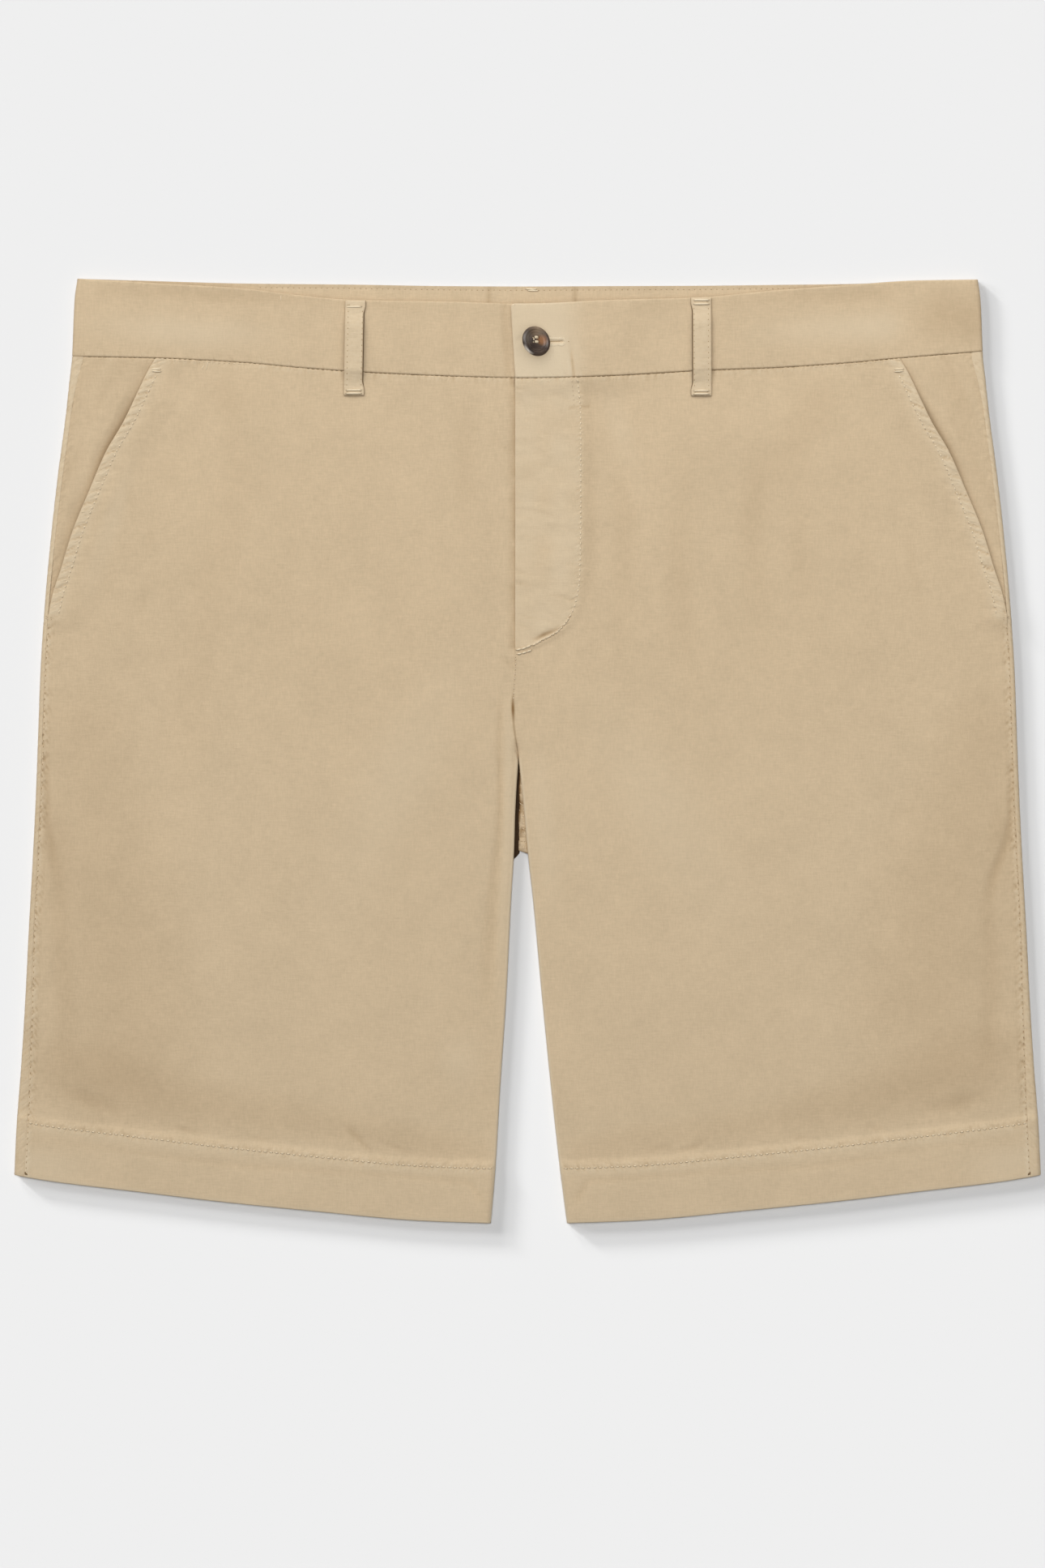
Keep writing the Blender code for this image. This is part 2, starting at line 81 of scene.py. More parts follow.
# %% [markdown]
# A flat garment is a stack of layers. The back lies on the table, the front lies on it, and wherever cloth
# is doubled (the fly, the pocket mouth, the hem) the face is lifted by one more layer. Most sizes are those
# of the solids, so that each shell lies where its solid does. The seams are closed and a few steps softer.

# %% Layers of cloth
CLOTH = 1.0
GAP = 0.3
SEAM = 0.01
LAYER = CLOTH + GAP
FLY_LAYER = 0.8
MOUTH_LAYER = 0.95
FRONT_TOP = 4.2
BAND_WALL = 1.6
BAND_TOP = 4.6
CROWN = 1.0
CROWN_SPAN = 45.0
SEAM_SPAN = 40.0
HEM = 30.0
HEM_LAP = 1.0
HEM_FADE = 5.0
FOLD = 1.25
FOLD_REACH = 0.6
ROLL = 1.5
ROLL_TURN = math.radians(90.0)
ROLL_DROP = 1.4
ROLL_TOP = 8.0
ROLL_FULL = -7.0
HEM_ROLL = 2.75
HEM_ROLL_TURN = math.radians(74.0)
HEM_ROLL_DROP = 0.2
FLY_UNDERLAP = 12.0
FLY_BOTTOM = 55.0
FLY_UNDERLAP_END = 60.0
FLY_UNDERLAP_TAPER = 8.0
FLY_FADE = 7.0
FLY_SETTLE = 11.0
FACING_UNDER = 10.0
FACING_BOTTOM = 78.0
MOUTH_BOTTOM = 75.2
MOUTH_LAP = 11.0
MOUTH_FADE = 15.0
MOUTH_SETTLE = 11.0
BACK_SEAM_LEAN = 4.4
WEB_BOTTOM = {RIGHT: -56.4, LEFT: -55.0}
WEB_RAMP = {RIGHT: 4.0, LEFT: 1.2}
CROTCH_OPEN = 23.4
BAND_UNDER_END = 22.0
BAND_OVER_TOP = -9.5
BAND_OVER_SEAM = -6.9
BAND_OVER_FADE = 56.0
UNDERLAP_DROP = 0.45
FLY_RISE_SPAN = 14.0
BAND_HEIGHT = 42.0

# %% [markdown]
# The outline is drawn once, as short tables that a smooth curve is passed through: how wide the garment is
# at a height, where the inner edges of the legs run, the waist seam and the top of the band, the hem, the
# slanted pocket mouths and the stitch line that bounds the fly.

# %% Outline of the garment
Side = namedtuple("Side", "height half_width strip")
SIDE_EDGE = table(Side,
    (262.4, 249.9, 6.3), (250.6, 251.5, 6.3), (219.2, 252.9, 6.3), (205.6, 254.4, 4.5), (187.7, 256.3, 3.1),
    (151.6, 261, 2.9), (115.6, 265, 2.6), (79.6, 268.2, 2.4), (43.6, 270.5, 2.4), (7.6, 271.8, 2.5),
    (-28.4, 273.2, 2.6), (-64.4, 275, 2.7), (-100, 277, 2.9), (-136, 278.8, 3.6), (-172, 281, 4.6),
    (-208, 283.7, 6), (-236, 285, 5.8))
Centre = namedtuple("Centre", "height right left")
CENTRES = table(Centre,
    (212, -6.9, -6.9), (56, -6.9, -6.9), (44, -7.3, -7.3), (29, -8.2, -8.2), (16, -7.8, -7.8),
    (5, -6.4, -6.4), (-4, -5.2, -5), (-20, -6.1, -3.3), (-36, -6.9, -1.7), (-54, -7.4, -0.1),
    (-82, -9.1, 3), (-136, -11.8, 8), (-190, -15.4, 13.4), (-230, -17.7, 17.8), (-262, -20.4, 21.9))
Waist = namedtuple("Waist", "across seam top back_seam back_top")
WAISTS = table(Waist,
    (-251, 219.1, 262.3, 219.1, 262.3), (-207, 218.2, 259.8, 218, 261), (-160, 215.9, 257, 216.7, 259.7),
    (-125, 212.8, 252.9, 216.3, 259.3), (-95, 210.7, 250.4, 216, 259), (-45, 208.3, 249.6, 215.2, 258.2),
    (0, 207.2, 248.4, 215, 258), (45, 208.4, 250.4, 215.2, 258.2), (95, 211.2, 251.9, 215.4, 258.4),
    (140, 213, 256, 215.9, 258.9), (180, 215.7, 258.9, 217, 259.4), (215, 218.9, 261.2, 218.9, 260.9),
    (251, 221.8, 261.8, 221.8, 261.8))
Hem = namedtuple("Hem", "distance height")
HEMS = table(Hem,
    (15, -262.3), (60, -260.6), (120, -255.2), (173, -249.8), (218, -244.4), (263, -239), (286, -235.2))
Mouth = namedtuple("Mouth", "height distance gape")
MOUTHS = table(Mouth,
    (222, 204, 0.2), (212, 210.3, 0.4), (200, 216.1, 0.7), (183, 224.2, 1.5), (166, 234.1, 1.3),
    (144, 243.6, 0.8), (122, 252.6, 1), (100, 259.4, 0.9), (88, 263.4, 0.5), (75.2, 266.2, 0.2))
Fly = namedtuple("Fly", "height across")
FLIES = table(Fly,
    (212, 27.5), (181, 29.5), (134, 29.5), (99, 29), (85, 27.2), (74.3, 23.2), (66.2, 16.4), (61.7, 8.3),
    (59, 3.4), (55, -6))
Loop = namedtuple("Loop", "side x_top x_bottom width bottom")
LOOPS = table(Loop,
    (RIGHT, -95.5, -96.4, 11.3, 197.4), (LEFT, 96.3, 96.5, 11.3, 197.1))


# %% [markdown]
# A few small functions do most of the shaping. `ease` and `fade` blend one form into the next, `curve`
# passes a smooth line through two columns of a table, `mottle` is a soft random field with patches of a
# chosen size, and `gathers` gives the uneven row of small valleys that a machine seam pulls into cotton.

# %% Shaping helpers
LATTICE = (61, 67)
VALLEYS = 997


def ease(value):
    """0 below 0, 1 above 1 and smooth between."""
    share = np.clip(value, 0.0, 1.0)
    return share * share * (3.0 - 2.0 * share)


def fade(value):
    """1 below 0, 0 above 1 and smooth between."""
    return 1.0 - ease(value)


def bell(value):
    """1 at 0, and smoothly down to 0 on either side."""
    return np.exp(-value ** 2)


def lerp(start, end, share):
    return start + (end - start) * share


def curve(rows, across, value):
    """A smooth function through two columns of a table, level beyond its ends."""
    points = sorted((getattr(row, across), getattr(row, value)) for row in rows)
    places, values = np.array(points).T
    steps = np.diff(places)
    grades = np.diff(values) / steps
    product = grades[:-1] * grades[1:]
    total = np.where(product > 0, grades[:-1] + grades[1:], 1.0)
    inner = np.where(product > 0, 2.0 * product / total, 0.0)
    slopes = np.concatenate([grades[:1], inner, grades[-1:]])

    def read(place):
        place = np.clip(place, places[0], places[-1])
        i = np.clip(np.searchsorted(places, place, side="right") - 1, 0, len(steps) - 1)
        t = (place - places[i]) / steps[i]
        start = (1 + 2 * t) * (1 - t) ** 2 * values[i] + t * (1 - t) ** 2 * steps[i] * slopes[i]
        end = t * t * (3 - 2 * t) * values[i + 1] - t * t * (1 - t) * steps[i] * slopes[i + 1]
        return start + end

    return read


def mottle(seed, x, y, size_x, size_y):
    """A smooth random field from -1 to 1, with patches of about that size."""
    lattice = np.random.default_rng(seed).uniform(-1.0, 1.0, LATTICE)
    u = x / size_x + 10.0 * LATTICE[0]
    v = y / size_y + 10.0 * LATTICE[1]
    i = np.floor(u).astype(int)
    j = np.floor(v).astype(int)

    def corner(across, along):
        return lattice[(i + across) % LATTICE[0], (j + along) % LATTICE[1]]

    near = lerp(corner(0, 0), corner(1, 0), ease(u - i))
    far = lerp(corner(0, 1), corner(1, 1), ease(u - i))
    return lerp(near, far, ease(v - j))


def gathers(seed, along, pitch, width, least=0.0):
    """Uneven small valleys along a sewn line: 0 between them and up to 1 in them."""
    shift, strength = np.random.default_rng(seed).uniform(0.0, 1.0, (2, VALLEYS))
    strength = least + (1.0 - least) * strength
    nearest = np.rint(along / pitch).astype(int)
    depth = np.zeros(np.shape(along))
    for step in (-1, 0, 1):
        valley = nearest + step
        place = (valley + 0.7 * (shift[valley % VALLEYS] - 0.5)) * pitch
        depth = np.maximum(depth, strength[valley % VALLEYS] * bell((along - place) / width))
    return depth


def turned_down(distance, width, drop):
    """How far cloth has turned down, at that distance inside a sewn or folded edge."""
    share = np.clip(1.0 - distance / width, 0.0, 1.0)
    return drop * (1.0 - np.sqrt(1.0 - share * share))


def stitch_furrow(distance):
    """The furrow that a row of stitches pulls, at that distance to one side of it."""
    return 0.2 * bell(distance / 0.9)


# %% Outline curves
half_width = curve(SIDE_EDGE, "height", "half_width")
side_strip = curve(SIDE_EDGE, "height", "strip")
centre_edge = {RIGHT: curve(CENTRES, "height", "right"), LEFT: curve(CENTRES, "height", "left")}
front_seam = curve(WAISTS, "across", "seam")
front_top_edge = curve(WAISTS, "across", "top")
back_seam = curve(WAISTS, "across", "back_seam")
back_top_edge = curve(WAISTS, "across", "back_top")
mouth_edge = curve(MOUTHS, "height", "distance")
mouth_gape = curve(MOUTHS, "height", "gape")
fly_stitch = curve(FLIES, "height", "across")
hem_by_distance = curve(HEMS, "distance", "height")


def hem_line(x):
    return hem_by_distance(np.abs(x))


print(f"garment: {2 * half_width(-236.0):.0f} mm across the hems")

# %% [markdown]
# Cloth that has been worn, washed and laid down keeps folds. Each one here is given as a short path
# with its reach to either side and its depth at every bend, negative for a trough and positive for a
# ridge. A path that starts or ends at depth 0 fades out, as real creases do.

# %% Folds of the fronts
Bend = namedtuple("Bend", "x y reach depth")


def folds(*paths):
    """Each path is a row of bends: a place, how far it reaches to either side, and its depth."""
    return [table(Bend, *path) for path in paths]


FRONT_FOLDS = {
    RIGHT: folds(
        [(-14.6, 34, 2.2, 0), (-15.3, 18.9, 2.4, -0.5), (-15.9, 2.2, 2.4, -0.6), (-15.1, -19.4, 2.4, -0.75),
         (-15.3, -32.4, 2.6, -0.7), (-16.3, -52.2, 3.2, -0.6), (-18.6, -70.7, 4.4, -0.5),
         (-21.3, -111.2, 7, -0.45), (-22.2, -150, 8, 0)],
        [(-10.9, 30, 3, 0), (-10.2, 4, 4, 0.5), (-9.6, -32.9, 5, 0.6), (-10.8, -68.9, 6, 0.5),
         (-13.2, -109.4, 7, 0.4), (-15, -150, 7, 0)],
        [(-13.6, 50.9, 2.2, -0.1), (-7.8, 46.8, 2.6, -0.5)],
        [(-268.8, 14, 2, 0), (-267.4, -8, 3, -0.6), (-266.5, -40, 3.5, -0.6), (-263.4, -58.5, 4, -0.5),
         (-260.7, -72, 6, -0.25), (-259.8, -90, 9, -0.3), (-256.2, -145.3, 9, -0.3), (-258.9, -190, 9, 0)],
        [(-210.7, 188.1, 2, -0.1), (-201.7, 190.8, 2.4, -0.12), (-196, 192.5, 3, 0)],
        [(-220.2, 150, 2.6, 0), (-220.4, 141, 3, -0.2), (-220.6, 129, 3, 0)],
        [(-207, 128, 3, 0), (-209, 120, 3.2, -0.25), (-212, 108, 3.5, 0)],
        [(-210.5, 96, 3.5, 0), (-213, 84, 4, -0.25), (-216.5, 70, 5, 0)],
        [(-266, -184, 6, 0), (-243.6, -194, 7, -0.45), (-218, -202, 6, 0)],
        [(-200, -207.5, 2, 0), (-190, -210.2, 2.4, -0.5), (-178, -212.8, 2.4, 0)],
        [(-156, -214.6, 2, 0), (-148.6, -215.6, 2, -0.45), (-141, -216.3, 2, 0)],
        [(-101, -207, 3, 0), (-96.5, -212.5, 3, -0.75), (-88.3, -221, 1.8, -0.5)],
        [(-80, -216.4, 1.8, -0.1), (-72, -220.4, 2, -0.45), (-63, -223.6, 1.8, 0)],
        [(-190, -203, 2, 0), (-186, -204.2, 2.2, -0.22), (-181, -205.6, 2, 0)],
        [(-264.7, -216.9, 2.6, -0.05), (-211.6, -223.4, 2.6, -0.2), (-162.6, -230.2, 2.6, -0.28),
         (-99.6, -234, 2.6, -0.2), (-65.8, -236.2, 2.6, -0.2), (-31.5, -239.8, 2.6, -0.3),
         (-27, -248, 3.6, -0.4)],
        [(-56, -123, 3, 0), (-40, -110, 4, 0.16), (-26, -98, 3, 0)],
        [(-64, -143.5, 3, 0), (-52, -137, 4, 0.14), (-42, -132, 3, 0)],
        [(-38.8, -150, 16, 0), (-38, -172, 18, 0.45), (-36.6, -198, 12, 0)],
        [(-165, 196, 12, 0), (-160, 160, 16, -0.14), (-176, 90, 20, -0.16), (-190, 10, 22, -0.14),
         (-196, -70, 22, 0)],
        [(-30, 70, 20, 0), (-70, -10, 30, 0.4), (-120, -110, 32, 0)],
        [(-18, 172, 3, -0.14), (-10, 166, 2.6, -0.22)]),
    LEFT: folds(
        [(269.4, 8, 2, 0), (269.2, -10, 3, -0.6), (268.6, -35.1, 3, -0.6), (266, -50.4, 3.6, -0.6),
         (258.6, -69.3, 4.5, -0.7), (255.5, -84, 5.5, -0.3), (257.7, -122.9, 9, -0.3),
         (255.9, -158.4, 9, -0.3), (253.7, -190.3, 8, 0)],
        [(209, 122, 3, 0), (213.2, 107.5, 3.4, -0.18), (215.9, 88.7, 3.6, -0.2), (221.5, 66, 4, 0)],
        [(215, -201, 6, 0), (238, -196, 7, -0.45), (264, -188, 6, 0)],
        [(187, -207.8, 2, 0), (194, -209.5, 2.2, -0.5), (201, -211.2, 2, 0)],
        [(179, -203.6, 2, 0), (186, -203.2, 2.2, -0.22), (193, -202.8, 2, 0)],
        [(145, -212.4, 2, 0), (151, -214.6, 2, -0.5), (158, -217, 2, 0)],
        [(80, -222.4, 2, 0), (92.6, -220.1, 2.2, -0.6), (100, -215, 2.2, 0)],
        [(62, -222, 2, 0), (72, -221, 2, -0.4), (82, -220, 2, 0)],
        [(28, -248, 3.6, -0.35), (33, -239.2, 2.8, -0.3), (70.1, -235.8, 2.6, -0.2),
         (107.9, -233.6, 2.6, -0.25), (134.4, -232.2, 2.6, -0.2), (164.6, -230.2, 2.6, -0.28),
         (195.2, -225.5, 2.6, -0.18), (227.1, -219.2, 2.6, -0.12), (267.2, -217.3, 2.6, -0.08)],
        [(4, 10, 8, 0), (7, -20, 10, 0.35), (11.1, -62, 11, 0.35), (16, -95, 9, 0)],
        [(200, -36, 4, 0), (211, -33.6, 4.6, -0.15), (224, -31, 4, 0)],
        [(34.5, 200, 6, -0.15), (35, 120, 6, -0.3), (34, 60, 8, 0)],
        [(53, 196, 9, 0), (54, 130, 10, -0.3), (52, 40, 12, 0)],
        [(86, 170, 10, 0), (84, 100, 12, -0.3), (92, 10, 14, 0)],
        [(128, 190, 10, 0), (124, 120, 12, -0.3), (132, 40, 14, 0)],
        [(153, 180, 10, 0), (150, 110, 10, -0.22), (160, 60, 14, 0)],
        [(28, 40, 20, 0), (74, -30, 32, 0.4), (120, -110, 34, 0)],
        [(23.7, 190.6, 1.6, -0.2), (34.1, 191.4, 1.6, -0.2)],
        [(2.6, 61, 1.7, -0.25), (9, 64.6, 1.9, -0.6), (17.8, 68.6, 1.7, -0.2)]),
}
print("folds placed on the fronts:", sum(len(paths) for paths in FRONT_FOLDS.values()))


# %% [markdown]
# A point's height on a fold is its depth there times a bell across the fold. Where two stretches of one
# path meet, the stronger of them counts, so the bends don't add up to bumps.

# %% Height of the folds at a point
def fold_relief(paths, x, y):
    """The sum of the folds that pass a point."""
    total = np.zeros(np.broadcast(x, y).shape)
    for bends in paths:
        strongest = np.zeros_like(total)
        for start, end in zip(bends, bends[1:]):
            run_x = end.x - start.x
            run_y = end.y - start.y
            along = ((x - start.x) * run_x + (y - start.y) * run_y) / (run_x ** 2 + run_y ** 2)
            along = np.clip(along, 0.0, 1.0)
            aside = np.hypot(x - start.x - along * run_x, y - start.y - along * run_y)
            swell = np.clip(1.0 - (aside / lerp(start.reach, end.reach, along)) ** 2, 0.0, None) ** 2
            height = lerp(start.depth, end.depth, along) * swell
            strongest = np.where(np.abs(height) > np.abs(strongest), height, strongest)
        total += strongest
    return total


def drift(seed, x, y):
    """The slack that any laid cloth has: long soft waves, broad patches and a fine unevenness."""
    waves = 0.20 * mottle(seed, x + 0.12 * y, y, 19.0, 130.0)
    patches = 0.22 * mottle(seed + 1, x, y, 38.0, 46.0)
    fine = 0.05 * mottle(seed + 2, x, y, 8.0, 13.0)
    return waves + patches + fine


# %% [markdown]
# ## The fronts
# A front is one cut panel. It rolls over the inseam, laps over its neighbour at the fly and over the
# pocket facing at the mouth, and is turned in at the hem. Its form comes from the same rules as the
# solid's, and the relief on top of it is all that sewing and wear do to it.

# %% Form of a front
def hem_lift(x, y):
    """1 over the turned-in hem, fading to 0 above it."""
    return fade((y - hem_line(x) - HEM - HEM_LAP) / HEM_FADE)


def fly_lift(side, x, y):
    """1 where the left front lies over the right one."""
    if side == RIGHT:
        return np.zeros(np.broadcast(x, y).shape)
    across = fade((x - fly_stitch(y)) / FLY_FADE)
    return across * ease((y - FLY_BOTTOM + FLY_SETTLE) / FLY_SETTLE)


def mouth_lift(side, x, y):
    """1 where a front lies over its pocket facing."""
    inwards = mouth_edge(y) - side * x
    across = fade((inwards - MOUTH_LAP) / MOUTH_FADE)
    return across * ease((y - MOUTH_BOTTOM + MOUTH_SETTLE) / MOUTH_SETTLE)


def front_form(side, x, y):
    """The outer face of a front, before its relief."""
    raised = np.maximum(FLY_LAYER * fly_lift(side, x, y), MOUTH_LAYER * mouth_lift(side, x, y))
    raised = np.maximum(raised, LAYER * hem_lift(x, y))
    inner = side * (x - centre_edge[side](y))
    outer = half_width(y) - side_strip(y) - side * x
    crown = CROWN * ease(inner / CROWN_SPAN) * ease(outer / CROWN_SPAN)
    crown = crown * ease((front_seam(x) - y) / SEAM_SPAN) * ease((y - hem_line(x) - HEM) / SEAM_SPAN)
    return FRONT_TOP + raised + crown


def front_inner(side, y):
    """The inner edge of a front, with the right one's lap under the fly."""
    edge = centre_edge[side](y) + side * SEAM / 2
    if side == RIGHT:
        edge = edge + FLY_UNDERLAP * ease((y - FLY_UNDERLAP_END) / FLY_UNDERLAP_TAPER)
    return edge


def front_outer(y):
    """How far out a front reaches: the pocket mouth, then the side seam."""
    seam = half_width(y) - side_strip(y) - SEAM
    return np.where(y > MOUTH_BOTTOM, np.minimum(seam, mouth_edge(y)), seam)


def roll_point(side, y, turn_share, drop_share):
    """A point of the rolled inseam edge: how far out, how far down, and its angle."""
    lift = hem_lift(centre_edge[side](y), y)
    growth = np.maximum(0.001, ease((ROLL_TOP - y) / (ROLL_TOP - ROLL_FULL)))
    radius = lerp(ROLL, HEM_ROLL, lift) / growth
    angle = lerp(ROLL_TURN, HEM_ROLL_TURN, lift) * growth * turn_share
    drop = lerp(ROLL_DROP, HEM_ROLL_DROP, lift) * drop_share
    out = radius * np.sin(angle) + drop * np.cos(angle)
    down = radius * (1.0 - np.cos(angle)) + drop * np.sin(angle)
    return out, down, angle


# %% [markdown]
# The relief of a front is read by the distance to each sewn line. Between the pocket's edge and its
# topstitch the cloth is gathered into little cross valleys. The fly, the hem, the waist and the side seam
# have finer ones, and every row of stitches lies in a furrow.

# %% Relief of a front
TOPSTITCH = 5.8
HEM_STITCH = 30.5
POCKET_FOOT = 71.0
FLY_FOOT = 58.0
POCKET_SEED = {RIGHT: 11, LEFT: 12}
SIDE_SEED = {RIGHT: 21, LEFT: 22}
WAIST_SEED = {RIGHT: 31, LEFT: 32}
HEM_SEED = {RIGHT: 41, LEFT: 42}
DRIFT_SEED = {RIGHT: 51, LEFT: 61}


def above_foot(y, span):
    """1 beside a pocket mouth, fading to 0 at its foot."""
    return ease((y - POCKET_FOOT) / span)


def pocket_strip(side, x, y):
    """The topstitched strip of a pocket: how far in from the mouth, how high, and how much of it."""
    inwards = mouth_edge(y) - side * x
    along = y - 0.4 * inwards + 0.5 * mottle(POCKET_SEED[side] + 4, x, y, 4.0, 3.0)
    strip = ease(inwards / 0.8) * fade((inwards - TOPSTITCH + 0.4) / 2.4)
    return inwards, along, strip * above_foot(y, 6.0)


def pocket_valleys(side, x, y):
    """The cross valleys of the strip, from 0 to 1."""
    inwards, along, strip = pocket_strip(side, x, y)
    short = gathers(POCKET_SEED[side], along, 4.3, 0.62, 0.25)
    part = ease(1.1 + 0.9 * mottle(POCKET_SEED[side] + 6, inwards, along, 2.6, 4.3))
    return strip * short * part


def pocket_relief(side, x, y):
    """The strip beside the pocket mouth: puffed, gathered and stitched down."""
    inwards, along, strip = pocket_strip(side, x, y)
    ripples = 0.14 * strip * mottle(POCKET_SEED[side], inwards, along, 2.8, 2.6)
    beyond = 0.3 * fade(np.abs(inwards - TOPSTITCH - 3.4) / 4.4) * above_foot(y, 6.0)
    beyond = beyond * gathers(POCKET_SEED[side] + 2, along + 0.3 * inwards, 6.4, 1.3)
    puff = 0.25 * strip * ease(inwards / 2.0)
    stitched = stitch_furrow(inwards - TOPSTITCH) * above_foot(y, 4.0)
    return puff + ripples - 0.68 * pocket_valleys(side, x, y) - beyond - stitched


def side_valleys(side, y, distance):
    """The slanted puckers beside the side seam, at that distance from it."""
    near = fade((distance - 1.5) / 4.0) * (0.3 + 0.7 * ease((y + 216.0) / 14.0))
    slant = y + 0.8 * side * distance
    return near * gathers(SIDE_SEED[side], slant, 3.4, 0.7, 0.15)


def side_relief(side, y, distance):
    return -0.45 * side_valleys(side, y, distance)


def above_fly_end(y):
    """1 beside the fly, fading to 0 at its lower end."""
    return ease((y - FLY_BOTTOM) / 3.0)


def fly_valleys(x, y):
    """The creases of the fly's doubled strip, mostly level, from 0 to 1."""
    inside = fly_stitch(y) - x
    strip = ease(inside / 1.5) * ease(x - centre_edge[LEFT](y)) * ease((y - FLY_FOOT) / 4.0)
    tilted = y + 0.25 * x + 1.6 * mottle(74, x, y, 9.0, 6.0)
    part = ease(0.2 + 1.2 * mottle(75, x, y, 8.0, 3.6))
    edge = ease((7.0 - x + centre_edge[LEFT](y)) / 6.0)
    return strip * (gathers(76, tilted, 5.4, 0.8) * part + 0.8 * edge * gathers(77, tilted, 3.6, 0.7))


def fly_relief(x, y):
    """The doubled strip of the fly, loose between its edge and its stitch line."""
    inside = fly_stitch(y) - x
    strip = ease(inside / 2.0) * ease((x - centre_edge[LEFT](y)) / 1.5) * ease((y - FLY_FOOT) / 4.0)
    puckers = 0.15 * mottle(71, x, y + 0.2 * x, 6.5, 3.4) + 0.2 * mottle(72, x, y, 13.0, 8.0)
    stitched = ease((y - 56.0) / 2.0) * stitch_furrow(inside)
    close = bell(inside / 3.0) * ease((y - 60.0) / 4.0)
    return strip * puckers - stitched - 0.25 * close * gathers(73, y, 3.1, 0.8) - 0.2 * fly_valleys(x, y)


def hem_valleys(side, x, up):
    """The puckers across the hem's row of stitches, from 0 to 1."""
    near = bell((up - HEM_STITCH - 0.3) / 2.4)
    return near * gathers(HEM_SEED[side], x + 0.5 * side * up, 3.3, 0.75, 0.1)


def waist_valleys(side, x, down):
    """The puckers below the waist seam, from 0 to 1."""
    return fade(down / 6.0) * gathers(WAIST_SEED[side], x, 4.0, 0.9)


def front_relief(side, x, y):
    """Everything that sewing and wear do to the face of a front."""
    inner = side * (x - centre_edge[side](y))
    outer = front_outer(y) - side * x
    down = front_seam(x) - SEAM - y
    up = y - hem_line(x)
    free = ease(inner / 6.0) * ease(outer / 5.0) * ease(down / 6.0) * ease(up / 6.0)
    loose = ease(inner / 4.0) * ease(outer / 2.0) * ease(up / 4.0)
    relief = free * drift(DRIFT_SEED[side], x, y) + loose * fold_relief(FRONT_FOLDS[side], x, y)
    relief = relief - 0.22 * waist_valleys(side, x, down) - 0.24 * hem_valleys(side, x, up)
    relief = relief - 0.6 * stitch_furrow(up - HEM_STITCH)
    at_pocket = above_foot(y, 4.0)
    relief = relief + (1.0 - at_pocket) * side_relief(side, y, outer)
    relief = relief - (1.0 - at_pocket) * turned_down(outer, 0.9, 0.2)
    rolled = (0.2 + 0.2 * ease((y - 130.0) / 50.0)) * turned_down(outer, 0.8, 1.0)
    relief = relief + at_pocket * (0.45 * mouth_gape(y) * fade(outer / 7.0) - rolled)
    relief = relief + pocket_relief(side, x, y)
    relief = relief - turned_down(down, 1.1, 0.5) * (0.7 + 0.6 * gathers(WAIST_SEED[side] + 7, x, 5.6, 1.6))
    if side == LEFT:
        under_band = band_height(LEFT, x) - BAND_TOP - FLY_LAYER * fly_lift(side, x, y)
        relief = relief + under_band * fade(down / FLY_RISE_SPAN)
    in_fly = above_fly_end(y)
    crotch = (1.0 - in_fly) * ease((y - ROLL_TOP + 4.0) / 4.0)
    relief = relief - 0.5 * crotch * fade(inner / 2.2)
    if side == LEFT:
        fly_edge = turned_down(inner, 1.2, 0.45) + 0.3 * fade(inner / 2.0)
        return relief + fly_relief(x, y) - in_fly * fly_edge
    return relief - in_fly * UNDERLAP_DROP * fade((inner + 2.0) / 3.4)


def front_height(side, x, y):
    return front_form(side, x, y) + front_relief(side, x, y)


# %% [markdown]
# A panel is a grid: columns run from hem to waist and rows run across. The spacing is fine where the cloth
# is gathered or turned and wider where it lies flat. A ladder lists the places of the rungs, from a
# few spacings. At the hem the rows go round the fold and up inside, which is how a real hem is made.

# %% Columns and rows of a grid
Columns = namedtuple("Columns", "share offset turn drop")
Rows = namedtuple("Rows", "share rise inset")
PANEL_LENGTH = 469.0
PANEL_WIDTH = 265.0
INNER_SPACING = {
    RIGHT: [(1.6, 0.4), (24, 1.5)],
    LEFT: [(1.6, 0.4), (46, 1.5)],
}
OUTER_SPACING = [(1.6, 0.4), (12, 1.1), (22, 1.7)]
MIDDLE_STEP = 2.7
FACE_SPACING = [
    (6, 1.2), (26, 2), (36, 0.8), (315, 1.8), (462, 1.05),
    (466, 0.65), (PANEL_LENGTH, 0.3),
]
BACK_SPACING = [(6, 1.2), (26, 3), (36, 1), (PANEL_LENGTH, 1.6)]
ROLL_STEPS = 7
DROP_STEPS = 3
HEM_STEPS = 9
TURNED_IN_STEPS = 8


def ladder(spacings):
    """Places from 0 on: each spacing says up to where it runs, and how wide its steps are."""
    places = [0.0]
    for until, step in spacings:
        count = max(1, round((until - places[-1]) / step))
        places += list(np.linspace(places[-1], until, count + 1)[1:])
    return np.array(places)


def hemmed_rows(spacings):
    """From the turned-in edge down to the hem fold, round it, and up the face."""
    inside = np.linspace(HEM, 0.0, TURNED_IN_STEPS + 1)[:-1]
    angles = np.linspace(math.pi, 0.0, HEM_STEPS + 1)
    face = ladder(spacings)[2:] / PANEL_LENGTH
    share = np.concatenate([np.zeros(len(inside) + len(angles)), face])
    rise = np.concatenate([inside, FOLD_REACH * (1.0 - np.sin(angles)), np.zeros(len(face))])
    inset = np.concatenate([
        np.full(len(inside), 2 * FOLD), FOLD * (1.0 - np.cos(angles)), np.zeros(len(face))])
    return Rows(share[:, None], rise[:, None], inset[:, None])


def settle(across, bottom, top, rows, columns):
    """The height of each row on each column, found by stepping between the two."""
    y = np.zeros((len(rows.share), columns))
    for _ in range(8):
        x = across(y)
        low = bottom(x)
        y = low + rows.rise + rows.share * (top(x) - low)
    return y


